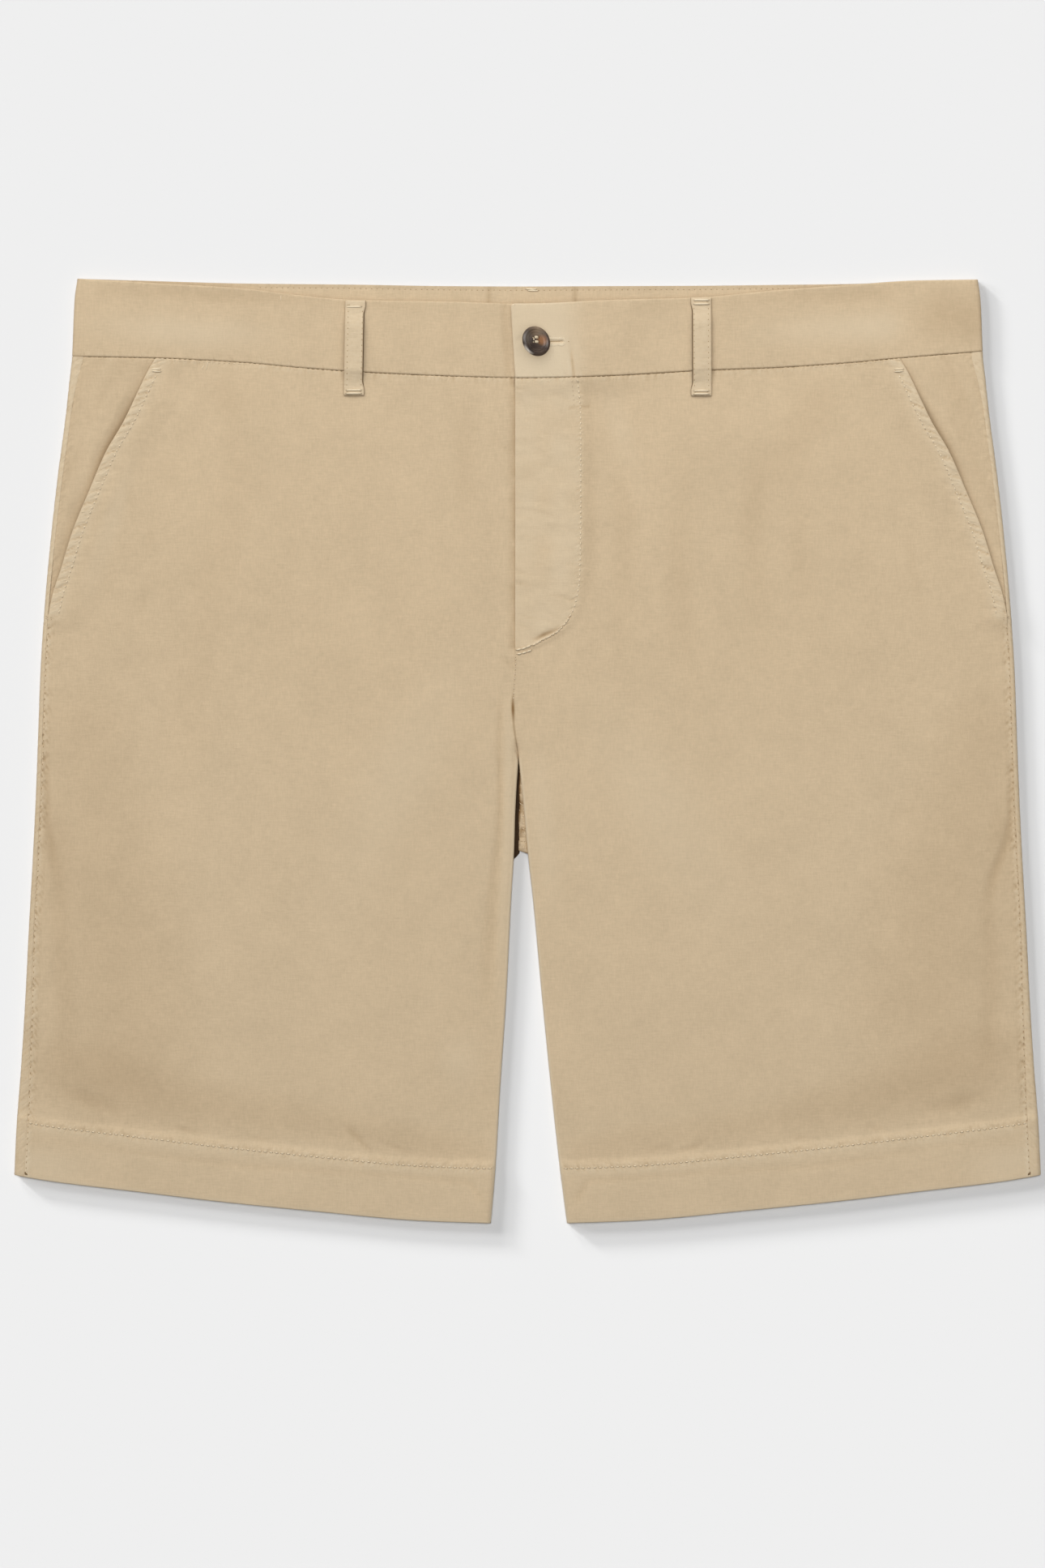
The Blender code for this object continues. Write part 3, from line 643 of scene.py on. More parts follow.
def stacked(x, y, z, normal_x, normal_z, inset):
    """Points moved in from the face, as rows by columns by three."""
    return np.stack([x - normal_x * inset, y, z - normal_z * inset], axis=-1)


# %% Points of a front
def front_columns(side):
    """The roll of the inseam, then from the inner edge across to the outer one."""
    roll = np.linspace(1.0, 0.0, ROLL_STEPS + 1)
    inner = ladder(INNER_SPACING[side])
    outer = ladder(OUTER_SPACING)[::-1]
    count = round((PANEL_WIDTH - inner[-1] - outer[0]) / MIDDLE_STEP)
    middle = np.linspace(0.0, 1.0, count + 1)[1:-1]
    flat = len(inner) + len(middle) + len(outer)
    falls = np.linspace(1.0, 0.0, DROP_STEPS + 1)[:-1]
    edge = len(falls) + ROLL_STEPS
    share = np.concatenate([np.zeros(edge + len(inner)), middle, np.ones(len(outer))])
    offset = np.concatenate([
        np.zeros(edge), inner, inner[-1] * (1.0 - middle) - outer[0] * middle, -outer])
    turn = np.concatenate([np.ones(len(falls)), roll[:-1], np.zeros(flat)])
    drop = np.concatenate([falls, np.zeros(ROLL_STEPS + flat)])
    return Columns(share, offset, turn, drop)


def front_points(side):
    columns = front_columns(side)
    rows = hemmed_rows(FACE_SPACING)

    def flat_across(y):
        start = front_inner(side, y) + side * roll_point(side, y, 1.0, 1.0)[0]
        return lerp(start, side * front_outer(y), columns.share) + side * columns.offset

    def across(y):
        return flat_across(y) - side * roll_point(side, y, columns.turn, columns.drop)[0]

    y = settle(across, hem_line, lambda x: front_seam(x) - SEAM, rows, len(columns.share))
    x = flat_across(y)
    out, down, angle = roll_point(side, y, columns.turn, columns.drop)
    z = front_height(side, x, y) - down
    return stacked(x - side * out, y, z, -side * np.sin(angle), np.cos(angle), rows.inset)


# %% [markdown]
# ## The backs
# A back lies under the garment, wraps round the side fold and ends at the side seam on top. Its underside
# rests on the table, so its folds only lift it off: long soft ones, of the same kind as on the front.

# %% Folds of the backs
BACK_FOLDS = {
    RIGHT: folds(
        [(-30, 150, 14, 0), (-66, 40, 26, -0.5), (-120, -90, 26, 0)],
        [(-12, 10, 6, 0), (-26, -40, 12, -0.5), (-34, -110, 14, 0)],
        [(-210, 190, 14, 0), (-196, 90, 22, -0.45), (-214, -60, 20, 0)],
        [(-150, 60, 10, 0), (-160, -30, 16, -0.35), (-150, -140, 14, 0)],
        [(-248, -90, 8, 0), (-240, -140, 10, -0.35), (-246, -190, 8, 0)],
        [(-96, -150, 12, 0), (-84, -185, 16, -0.4), (-90, -212, 10, 0)],
        [(-190, -206, 3, 0), (-170, -211, 3.4, -0.3), (-150, -213, 3, 0)]),
    LEFT: folds(
        [(24, 160, 14, 0), (58, 60, 24, -0.5), (104, -80, 28, 0)],
        [(8, 0, 6, 0), (24, -50, 12, -0.45), (30, -130, 14, 0)],
        [(216, 180, 14, 0), (204, 70, 20, -0.5), (222, -80, 22, 0)],
        [(140, 90, 10, 0), (156, 0, 16, -0.35), (144, -120, 16, 0)],
        [(250, -70, 8, 0), (238, -130, 10, -0.3), (248, -196, 8, 0)],
        [(110, -140, 12, 0), (96, -180, 15, -0.4), (104, -210, 10, 0)],
        [(60, -216, 3, 0), (84, -218, 3.4, -0.3), (104, -217, 3, 0)]),
}
WRAP_STEPS = 12
STRIP_STEPS = 5
BACK_STEP = 6.0
BACK_WIDTH = 270.0


# %% Points of a back
def back_inner(side, y):
    """The inner edge of a back: the centre back seam, then the inseam below the web."""
    seam = -BACK_SEAM_LEAN * ease((back_seam(0.0) - y) / (back_seam(0.0) - WEB_BOTTOM[side]))
    edge = lerp(seam, centre_edge[side](y), ease((WEB_BOTTOM[side] - y) / WEB_RAMP[side]))
    return edge + side * SEAM / 2


def back_relief(side, x, y, turn):
    """Under the garment the folds lift the cloth; on the side fold the seam puckers it."""
    under = fade(turn / 0.5)
    inside = side * (x - back_inner(side, y))
    up = y - hem_line(x)
    free = under * ease(inside / 6.0) * ease(up / 6.0) * ease((back_seam(x) - y) / 6.0)
    slack = 0.5 * drift(DRIFT_SEED[side] + 5, x, y) - 0.22
    sewn = 0.14 * under * bell((up - HEM_STITCH) / 3.0) * gathers(HEM_SEED[side] + 2, x, 3.5, 0.9)
    seam = 0.14 * under * fade(inside / 5.0) * gathers(81, y, 4.0, 0.9)
    pull = ease((turn - 1.0) / 1.2)
    puckers = pull * gathers(SIDE_SEED[side] + 4, y - 2.6 * side * turn, 3.7, 0.85)
    puckers = (0.2 + 0.28 * ease((y - 50.0) / 30.0)) * puckers
    relief = free * (slack + fold_relief(BACK_FOLDS[side], x, y)) - sewn - seam - puckers
    if side == LEFT:
        web = under * ease((x + 4.4) / 1.2) * fade((x - 4.0) / 6.0) * ease((22.0 - y) / 30.0)
        rough = 0.7 + 0.5 * mottle(83, x, y, 1.6, 2.4)
        relief = relief - 2.0 * web * ease((y + 75.0) / 14.0) * rough
    return relief


def back_points(side):
    flat = ladder([(14, 1), (BACK_WIDTH, BACK_STEP)]) / BACK_WIDTH
    turns = np.linspace(0.0, math.pi, WRAP_STEPS + 1)[1:]
    strips = np.linspace(0.0, 1.0, STRIP_STEPS + 1)[1:]
    share = np.concatenate([flat, np.ones(len(turns) + len(strips))])
    turn = np.concatenate([np.zeros(len(flat)), turns, np.full(len(strips), math.pi)])
    strip = np.concatenate([np.zeros(len(flat) + len(turns)), strips])
    behind = (turn == 0.0).astype(float)
    rows = hemmed_rows(BACK_SPACING)

    def radius_at(y):
        return (FRONT_TOP + LAYER * hem_lift(half_width(y), y)) / 2

    def across(y):
        radius = radius_at(y)
        fold = half_width(y) - radius
        out = fold + radius * np.sin(turn) + strip * (half_width(y) - side_strip(y) - fold)
        return np.where(turn > 0.0, side * out, lerp(back_inner(side, y), side * fold, share))

    def top(x):
        return lerp(front_seam(x), back_seam(x), behind) - SEAM

    y = settle(across, hem_line, top, rows, len(share))
    x = across(y)
    radius = radius_at(y)
    from_seam = (1.0 - strip) * side_strip(y) + 9.0 * (strip == 0)
    relief = back_relief(side, x, y, turn) - turned_down(from_seam, 0.9, 0.2)
    z = radius * (1.0 - np.cos(turn))
    normal_x = side * np.sin(turn)
    normal_z = -np.cos(turn)
    return stacked(x, y, z, normal_x, normal_z, rows.inset - relief)


# %% [markdown]
# ## Facings, waistband and belt loops
# The facing is the cloth seen inside a slanted pocket: it sinks where the mouth gapes. The waistband is
# doubled and stiffened, so it's thicker, and its left end lies over the right one under the button. A belt
# loop is a folded strip, tacked down at both ends and slack between them.

# %% Points of a pocket facing
FACING_FOLDS = {
    RIGHT: folds(
        [(-246, 200, 5, 0), (-240, 186, 6, 0.35), (-246, 160, 5, 0)],
        [(-252, 176, 4, 0), (-256, 150, 4, -0.25), (-260, 124, 3, 0)],
        [(-226, 214, 5, -0.1), (-236, 196, 5, -0.2), (-246, 172, 4, 0)]),
    LEFT: folds(
        [(226, 206, 6, 0), (238, 190, 6, 0.35), (250, 164, 5, 0)],
        [(250, 190, 4, 0), (256, 160, 4, -0.2), (262, 130, 3, 0)],
        [(222, 200, 4, -0.3), (230, 186, 5, -0.35), (240, 168, 4, 0)]),
}
FACING_LENGTH = 140.0


def facing_points(side):
    share = np.concatenate([np.linspace(0.0, 0.25, 12)[:-1], np.linspace(0.25, 1.0, 34)])
    rows = Rows(ladder([(132, 1.3), (FACING_LENGTH, 0.5)])[:, None] / FACING_LENGTH, 0.0, 0.0)

    def across(y):
        outer = half_width(y) - side_strip(y) - SEAM
        return side * lerp(mouth_edge(y) - FACING_UNDER, outer, share)

    y = settle(across, lambda x: FACING_BOTTOM, lambda x: front_seam(x) - SEAM, rows, len(share))
    x = across(y)
    beside = side * x - mouth_edge(y)
    outer = half_width(y) - side_strip(y) - SEAM - side * x
    down = front_seam(x) - SEAM - y
    sink = mouth_gape(y) * fade((beside - 0.5) / 7.5)
    free = ease(outer / 4.0) * ease(down / 5.0)
    relief = free * (0.4 * drift(90 + side, x, y) + fold_relief(FACING_FOLDS[side], x, y))
    relief = relief - sink * ease(down / 8.0)
    relief = relief + side_relief(side, y, outer)
    relief = relief - turned_down(outer, 0.9, 0.2) - turned_down(down, 1.1, 0.5)
    relief = relief - (0.25 + 0.2 * ease((y - 130.0) / 50.0)) * fade((beside + 2.0) / 3.0)
    return stacked(x, y, FRONT_TOP + relief, 0.0, 1.0, 0.0)


# %% Points of a waistband half
BAND_SPACING = [(2, 0.4), (20, 1.4), (36, 0.55), (40, 1)]
BAND_ROWS = [
    (1.6, 0.4), (16, 1.2), (23.5, 0.5), (40.4, 1.2), (BAND_HEIGHT, 0.4),
]
BAND_CORNER = 2.6
BAND_FRONT_STEPS = 125
BAND_REAR_STEPS = 104
BAND_FOLDS = {
    RIGHT: folds(
        [(-150, 238, 12, 0), (-182, 230, 14, 0.25), (-216, 236, 10, 0)],
        [(-128, 252, 6, -0.1), (-170, 252, 8, -0.3), (-236, 257, 6, 0)],
        [(-12.5, 250, 3.5, -0.5), (-11.5, 226, 4, -0.55), (-10, 208, 3.5, -0.5)],
        [(-38, 246, 5, 0), (-44, 230, 8, -0.14), (-40, 212, 6, 0)]),
    LEFT: folds(
        [(24, 233, 2, 0), (24.4, 225.9, 2.4, -0.3), (24.8, 216.9, 2.4, -0.4), (25.8, 207, 2.2, -0.4)],
        [(-1.5, 231, 1.6, 0), (-4.4, 228.6, 1.9, -0.32), (-7.2, 225.4, 1.6, 0)],
        [(11, 227.2, 1.1, -0.75), (19.4, 227.2, 1.1, -0.75)],
        [(130, 253, 6, -0.1), (178, 253, 8, -0.3), (232, 257, 6, 0)],
        [(150, 240, 12, 0), (190, 232, 14, 0.25), (224, 238, 10, 0)],
        [(56, 244, 6, 0), (60, 230, 10, -0.16), (54, 214, 6, 0)]),
}
# Seams of the facing inside the back of the band, as seen above the front: where, and how deep
INNER_SEAMS = [(-42.0, 0.25), (-22.2, 0.45), (26.9, 0.4)]
REAR_LIFT = 0.5


def band_height(side, x):
    """The outer face of the front waistband: the left end is lifted over the right one."""
    if side == RIGHT:
        return BAND_TOP + 0.0 * x
    return BAND_TOP + (BAND_WALL + GAP) * fade((x - BAND_UNDER_END - GAP) / BAND_OVER_FADE)


def band_end(side, y):
    """Where a band's button or buttonhole end is, with the left one's rounded corner."""
    if side == RIGHT:
        return BAND_UNDER_END + 0.0 * y
    end = lerp(BAND_OVER_SEAM, BAND_OVER_TOP, (y - front_seam(0.0)) / BAND_HEIGHT)
    into = np.clip(1.0 - (front_top_edge(BAND_OVER_TOP) - y) / BAND_CORNER, 0.0, 1.0)
    return end + BAND_CORNER * (1.0 - np.sqrt(1.0 - into ** 2))


def band_relief(side, x, y, behind):
    """Edges, puckers, folds and the seams of the facing on the back of the band."""
    low = y - lerp(front_seam(x), back_seam(x), behind)
    high = lerp(front_top_edge(x), back_top_edge(x), behind) - y
    ahead = fade(behind / 0.2)
    from_end = side * (x - band_end(side, y))
    relief = 0.4 * ahead * drift(100 + side, x, y) * ease(low / 5.0) * ease(high / 5.0)
    relief = relief + ahead * fold_relief(BAND_FOLDS[side], x, y)
    relief = relief - 0.14 * fade(low / 6.0) * gathers(WAIST_SEED[side] + 3, x, 4.6, 1.1)
    relief = relief - 0.07 * fade(high / 5.0) * gathers(WAIST_SEED[side] + 5, x, 6.0, 1.4)
    relief = relief - ahead * turned_down(from_end, 0.9, 0.6)
    relief = relief - turned_down(low, 1.1, 0.5) - turned_down(high, 1.0, 0.5) * ahead
    inside = sum(depth * bell((x - place) / 0.7) for place, depth in INNER_SEAMS)
    stitched = stitch_furrow(high - 2.1) + 0.1 * gathers(105, x, 3.4, 0.8) * fade(high / 5.0)
    return relief + (inside + stitched - REAR_LIFT) * ease((behind - 0.9) / 0.1)


def band_points(side):
    near = ladder(BAND_SPACING)
    far = np.linspace(0.0, 1.0, BAND_FRONT_STEPS + 1)[1:]
    turns = np.linspace(0.0, math.pi, WRAP_STEPS + 1)[1:-1]
    rear = np.linspace(0.0, 1.0, BAND_REAR_STEPS + 1)
    share = np.concatenate([np.zeros(len(near)), far, np.ones(len(turns) + len(rear))])
    offset = np.concatenate([near, near[-1] * (1.0 - far), np.zeros(len(turns) + len(rear))])
    turn = np.concatenate([np.zeros(len(near) + len(far)), turns, np.full(len(rear), math.pi)])
    inward = np.concatenate([np.zeros(len(near) + len(far) + len(turns)), rear])
    behind = turn / math.pi
    rows = Rows(ladder(BAND_ROWS)[:, None] / BAND_HEIGHT, 0.0, 0.0)
    radius = BAND_TOP / 2

    def across(y):
        fold = side * (half_width(y) - radius)
        ahead = lerp(band_end(side, y), fold, share) + side * offset
        round_it = fold + side * radius * np.sin(turn)
        rearward = lerp(fold, 0.0 * y, inward)
        return np.where(turn == 0.0, ahead, np.where(inward > 0.0, rearward, round_it))

    def bottom(x):
        return lerp(front_seam(x), back_seam(x), behind)

    def top(x):
        return lerp(front_top_edge(x), back_top_edge(x), behind)

    y = settle(across, bottom, top, rows, len(share))
    x = across(y)
    face = np.where(turn == 0.0, band_height(side, x), radius * (1.0 + np.cos(turn)))
    relief = band_relief(side, x, y, behind)
    return stacked(x, y, face, side * np.sin(turn), np.cos(turn), -relief)


# %% Points of a belt loop
LOOP_WALL = 1.4
LOOP_RISE = 1.6
LOOP_TACK = 5.0
LOOP_LEAN = 0.7
LOOP_STITCH = 3.95
LOOP_DRAWN = 1.1
LOOP_SHADE = 0.4


def loop_points(loop):
    top = front_top_edge(loop.x_top) - GAP
    length = top - loop.bottom
    flat = np.concatenate([np.linspace(-1.0, -0.86, 4)[:-1], np.linspace(-0.86, 0.86, 15),
                           np.linspace(0.86, 1.0, 4)[1:]])
    across = np.concatenate([flat, [1.0, 1.0]])
    beyond = np.concatenate([0.0 * flat, [0.2, 1.0]])
    if loop.side == LEFT:
        across = -across[::-1]
        beyond = beyond[::-1]
    up = ladder([(1.2, 0.4), (length - 1.2, 0.8), (length, 0.4)])[:, None]
    y = loop.bottom + up + 0.0 * across
    share = up / length
    free = ease((up - 3.0) / 5.0) * ease((length - up - 3.0) / 5.0)
    drawn = LOOP_DRAWN * free * ease(0.5 - loop.side * across / 2)
    x = lerp(loop.x_bottom, loop.x_top, share) + across * loop.width / 2
    x = x + loop.side * (drawn - (0.1 + LOOP_SHADE * free) * beyond)
    base = front_form(loop.side, x, y)
    on_band = ease((y - front_seam(x) + 2.0) / 3.0)
    base = lerp(base, np.maximum(base, band_height(loop.side, x)), on_band)
    inside = np.minimum(up, length - up) - LOOP_TACK
    slack = ease(inside / (2 * LOOP_TACK))
    rise = slack * (LOOP_RISE - LOOP_LEAN * loop.side * across * 0.5)
    edge = (1.0 - np.abs(across)) * loop.width / 2
    seam = stitch_furrow((np.abs(across) - LOOP_STITCH / (loop.width / 2)) * loop.width / 2)
    ends = turned_down(np.minimum(up, length - up), 1.2, 0.7)
    relief = 0.08 * mottle(120 + loop.side, x, y, 4.0, 2.2) - seam - turned_down(edge, 1.0, 0.6) - ends
    return stacked(x, y, base + GAP + (LOOP_WALL + rise + relief) * (1.0 - 0.9 * beyond), 0.0, 1.0, 0.0)


# %% [markdown]
# ## From points to cloth
# `primitive_grid_add` gives a grid with the right number of rows and columns, and moving its points bends
# it to the panel. Three things are stored with it: the cut lengths, as a UV map for the weave to follow,
# its wear together with painted light and painted shade, and its place by the nearest sewn line, both of
# which the material reads. Solidify gives the wall, and the inner face can have dark seams and painted
# shade of its own.

# %% Cloth shell
def clear_selection():
    for other in bpy.context.selected_objects:
        other.select_set(False)


def placed(name, data):
    """A new object in the scene that holds the data."""
    item = bpy.data.objects.new(name, data)
    bpy.context.scene.collection.objects.link(item)
    return item


def apply_modifier(piece, kind, **settings):
    """Adds a modifier to the active piece and applies it."""
    modifier = piece.modifiers.new(kind.lower(), kind)
    for key, value in settings.items():
        setattr(modifier, key, value)
    bpy.ops.object.modifier_apply(modifier=modifier.name)


def cut_lengths(points):
    """How far each grid point is along its row and along its column, as cut, in metres."""
    across = np.linalg.norm(np.diff(points, axis=1), axis=2)
    along = np.linalg.norm(np.diff(points, axis=0), axis=2)
    u = np.concatenate([np.zeros((len(points), 1)), np.cumsum(across, axis=1)], axis=1)
    v = np.concatenate([np.zeros((1, points.shape[1])), np.cumsum(along, axis=0)], axis=0)
    return np.stack([u, v], axis=-1) * MM


def cloth_shell(name, points, wear, sewn, wall, turned_over, lining_wear=0.0):
    """A grid bent to its points, with cut lengths, wear, painted light and shade, seams and the cloth's
    wall.
    """
    rows, columns = points.shape[:2]
    clear_selection()
    bpy.ops.mesh.primitive_grid_add(x_subdivisions=columns - 1, y_subdivisions=rows - 1, size=1.0)
    piece = bpy.context.active_object
    piece.name = name
    mesh = piece.data
    mesh.name = name
    place = np.empty(len(mesh.vertices) * 3)
    mesh.vertices.foreach_get("co", place)
    place = place.reshape(-1, 3) + 0.5
    column = np.rint(place[:, 0] * (columns - 1)).astype(int)
    row = np.rint(place[:, 1] * (rows - 1)).astype(int)
    mesh.vertices.foreach_set("co", (points[row, column] * MM).ravel())
    corner = np.empty(len(mesh.loops), int)
    mesh.loops.foreach_get("vertex_index", corner)
    lengths = cut_lengths(points)[row, column][corner]
    mesh.uv_layers[0].name = "cut"
    mesh.uv_layers["cut"].data.foreach_set("uv", lengths.ravel())
    puckered = mesh.attributes.new("sewn", "FLOAT_VECTOR", "POINT")
    puckered.data.foreach_set("vector", sewn[row, column].astype(np.float32).ravel())
    if turned_over:
        mesh.flip_normals()
    apply_modifier(piece, "SOLIDIFY", thickness=wall * MM, offset=-1.0)
    both_faces = [wear[row, column], (wear + lining_wear)[row, column]]
    # The number at each point is wear with painted light and painted shade; the inner face adds its own
    # dark seams and painted shade.
    tone_marks = mesh.attributes.new("wear", "FLOAT", "POINT")
    tone_marks.data.foreach_set("value", np.concatenate(both_faces).astype(np.float32))
    bpy.ops.object.shade_smooth_by_angle(angle=math.radians(50.0))
    print(f"{name}: {rows} x {columns} points, {len(mesh.polygons)} faces")
    return piece


# %% [markdown]
# Garment dye takes unevenly and wear lightens what stands proud: folded edges, rows of stitches and the
# doubled strips beside them. Each piece gets one number for both at every point, which also carries
# painted light and painted shade. Above 0 the cloth is worn lighter, and painted lighter on folded edges
# and fold ridges; below 0 it is darker, with painted shade and the dark seams inside the band. The broad
# patches are mostly painted shade, placed one by one, as the folds are.

# %% Broad patches of painted shade, and a few lighter ones
FRONT_SHADES = {
    RIGHT: folds(
        [(-262, 40, 20, 0), (-246, 10, 40, -0.2), (-236, -80, 58, -0.3), (-226, -160, 62, -0.3),
         (-215, -225, 60, 0)],
        [(-262, -176, 26, -0.26), (-232, -184, 32, -0.33), (-200, -194, 24, -0.3), (-123, -206, 16, -0.24),
         (-50, -219, 14, -0.3), (-28, -222, 12, -0.2)],
        [(-282, -226, 10, 0.35), (-262, -231, 15, 0.28), (-235, -236, 14, 0)],
        [(-36, 205, 8, 0), (-34, 160, 10, -0.14), (-36, 110, 8, 0)],
        [(-190, 206, 14, 0), (-166, 197, 20, -0.17), (-140, 200, 14, 0)],
        [(-216, 176, 7, 0), (-230, 130, 9, 0.3), (-250, 74, 10, 0)],
        [(-266, -20, 10, 0), (-263, -52, 14, -0.25), (-260, -90, 12, 0)]),
    LEFT: folds(
        [(262, 36, 20, 0), (254, 10, 36, -0.24), (238, -70, 60, -0.32), (228, -140, 66, -0.32),
         (222, -212, 60, 0)],
        [(268, -170, 26, -0.28), (238, -178, 32, -0.37), (195, -192, 24, -0.33), (130, -208, 16, -0.25),
         (50, -219, 14, -0.28), (30, -222, 12, -0.2)],
        [(283, -224, 10, 0.35), (262, -230, 15, 0.32), (235, -235, 14, 0)],
        [(44, 205, 8, 0), (52, 178, 10, 0.28), (62, 132, 12, 0)],
        [(178, 205, 14, 0), (160, 190, 20, -0.16), (132, 150, 18, -0.1), (118, 116, 16, 0)],
        [(268, -18, 10, 0), (265, -45, 14, -0.26), (262, -82, 12, 0)],
        # Painted shade in the crease below the fly's curve, and in the tack crease near its top.
        [(2.6, 61.3, 1.3, 0), (8.6, 64.4, 1.8, -1.7), (13, 66.2, 1.7, -1.2), (18.2, 68.6, 1.3, 0)],
        [(23.7, 190.6, 1.5, -0.5), (34.1, 191.4, 1.5, -0.4)]),
}
# Lighter and darker patches along the band, painted shade along its top edge and in a short crease near the
# button, and painted light beside that crease.
BAND_SHADES = {
    RIGHT: folds(
        [(-246, 237, 12, 0.1), (-205, 234, 14, 0.38), (-160, 231, 13, 0.28), (-128, 230, 10, 0)],
        [(-236, 256, 7, -0.14), (-150, 252, 7, -0.16), (-60, 246, 6, -0.1)]),
    LEFT: folds(
        [(112, 231, 10, 0), (150, 233, 13, 0.32), (198, 236, 14, 0.42), (212, 238, 8, 0)],
        [(214, 244, 14, 0), (230, 242, 22, -0.38), (250, 240, 22, -0.38)],
        [(60, 246, 6, -0.1), (150, 252, 7, -0.14), (200, 254, 7, -0.1)],
        [(24.1, 224, 1.1, 0), (24.7, 216.9, 1.2, -0.9), (25.8, 208, 1.2, -0.7)],
        [(22.4, 223, 1.4, 0), (22.9, 216, 1.5, 0.4), (24, 208, 1.4, 0.3)],
        # A painted shadow round the button.
        [(4.6, 226, 9.4, -1.5), (5.6, 225, 9.4, -1.5)]),
}

# %% Wear, painted light and painted shade of each piece
# How strong the painted shade is along the waist seam and beside the pocket mouths, on each side.
SEAM_SHADE = {RIGHT: 0.2, LEFT: 0.5}
MOUTH_SHADE = {RIGHT: 0.8, LEFT: 0.6}


def front_wear_light_and_shade(side, points):
    """Worn along the edges and the doubled strips, with painted shade in the puckers beside every seam."""
    x, y = points[..., 0], points[..., 1]
    up = y - hem_line(x)
    down = front_seam(x) - y
    outer = front_outer(y) - side * x
    at_pocket = above_foot(y, 4.0)
    strip = pocket_strip(side, x, y)[2]
    inwards = mouth_edge(y) - side * x
    pocket = 0.22 * fade((inwards - TOPSTITCH) / 7.0) * above_foot(y, 6.0)
    # Worn lighter on the pocket strip, with painted shade in its cross valleys.
    wear = 0.4 * strip + pocket - 1.3 * pocket_valleys(side, x, y)
    # Worn and painted lighter on the hem fold, which turns away from the light, and lighter towards the
    # hems.
    wear = wear + fade(up / 1.1) + 0.10 * ease((70.0 - y) / 120.0) + 0.05 * ease((-190.0 - y) / 30.0)
    hem = 0.25 * bell((up - HEM_STITCH + 1.5) / 2.5)
    waist = 0.22 * fade(down / 5.0)
    side_strip_wear = (1.0 - at_pocket) * 0.4 * fade((outer - 1.0) / 3.0)
    wear = wear + np.maximum(np.maximum(hem, waist), side_strip_wear)
    # Painted shade in the puckers by the hem, the waist seam and the side seam, and a painted line of shade
    # along the waist seam.
    wear = wear - 0.6 * hem_valleys(side, x, up) - 0.6 * waist_valleys(side, x, down)
    wear = wear - 1.3 * (1.0 - at_pocket) * side_valleys(side, y, outer)
    wear = wear - SEAM_SHADE[side] * fade((down - 0.2) / 0.8)
    inner = side * (x - centre_edge[side](y))
    # Broad patches of painted shade, and painted shade in the fold troughs with painted light on the
    # ridges.
    wear = wear + fold_relief(FRONT_SHADES[side], x, y) + 0.55 * fold_relief(FRONT_FOLDS[side], x, y)
    # Worn and painted lighter on the rolled inseam below the crotch, which turns away from the light.
    wear = wear + 0.8 * fade((inner - 0.3) / 1.5) * ease((4.0 - y) / 10.0)
    # Painted shade at the crotch slit and along the crotch seam above the gap.
    opened = bell((y - CROTCH_OPEN) / 4.8) * fade((inner - 0.3) / 1.3)
    wear = wear - 1.5 * opened - 0.8 * fade(inner / 1.1) * ease((34.0 - y) / 6.0) * ease((y + 2.0) / 6.0)
    in_fly = above_fly_end(y)
    if side == LEFT:
        # Worn lighter on the fly's doubled strip, with painted shade in its creases.
        fly = (0.36 + 0.22 * mottle(78, x, y, 9.0, 14.0)) * fade((x - fly_stitch(y) + 0.5) / 2.0)
        return wear + fly * ease((y - 56.0) / 3.0) - 0.25 * fly_valleys(x, y)
    # A painted shadow on the right front beside the fly's edge.
    edge = (0.5 + 0.35 * mottle(79, x, y, 6.0, 5.0)) * fade((inner + 0.5) / 6.0)
    return wear - in_fly * edge


def back_wear_and_shade(side, points):
    x, y = points[..., 0], points[..., 1]
    on_top = ease((side * x - half_width(y) + 7.0) / 1.0) * ease((points[..., 2] - 2.0) / 1.0)
    to_seam = np.abs(half_width(y) - side_strip(y) - side * x)
    # Worn lighter on the side strip on top, with painted shade in the puckers beside the side seam.
    return on_top * (0.35 + 0.3 * ease((y - 50.0) / 30.0) - 0.6 * side_valleys(side, y, -to_seam))


def web_shade(side, points):
    """Painted shade on the inside of the backs where it shows between the legs: dark on the right, and
    rough and mottled on the left, darkest along its left edge.
    """
    x, y = points[..., 0], points[..., 1]
    in_web = ease((y + 64.0) / 4.0) * ease((12.0 - y) / 10.0) * ease((side * -x + 14.0) / 4.0)
    rough = 0.55 + mottle(84, x, y, 1.6, 2.4)
    rough = rough + 3.2 * ease((-3.6 - x) / 0.5) * ease((y + 44.0) / 14.0)
    return -{RIGHT: 4.2, LEFT: rough}[side] * in_web


def facing_tone_and_shade(side, points):
    x, y = points[..., 0], points[..., 1]
    beside = side * x - mouth_edge(y)
    # Painted shade beside the pocket mouth, deepest where it gapes, over streaks of random tone, and a
    # little darker overall.
    mouth = MOUTH_SHADE[side] * (0.3 + 0.7 * mouth_gape(y)) * fade((beside - 0.3) / 4.5)
    mouth = mouth * (0.4 + 0.6 * bell((y - 172.0) / 26.0))
    streaks = 0.12 * mottle(85 + side, side * x + 0.45 * y, y, 5.0, 22.0)
    return streaks - 0.1 - mouth * ease((front_seam(x) - y) / 12.0)


def band_wear_light_and_shade(side, points):
    x, y, z = points[..., 0], points[..., 1], points[..., 2]
    over = 0.0 * x
    if side == LEFT:
        over = (1.05 - 0.3 * ease((y - 222.0) / 16.0)) * fade((x - 14.0) / 24.0)
    # Painted shade and painted light from the band's patches, and painted shade in its fold troughs with
    # painted light on the ridges.
    over = over + fold_relief(BAND_SHADES[side], x, y) + 0.5 * fold_relief(BAND_FOLDS[side], x, y)
    low = y - front_seam(x)
    # A painted line of shade along the waist seam.
    seam = SEAM_SHADE[side] * fade((low - 0.1) / 0.6)
    return np.where(z > 2.0, over - seam, 0.0)


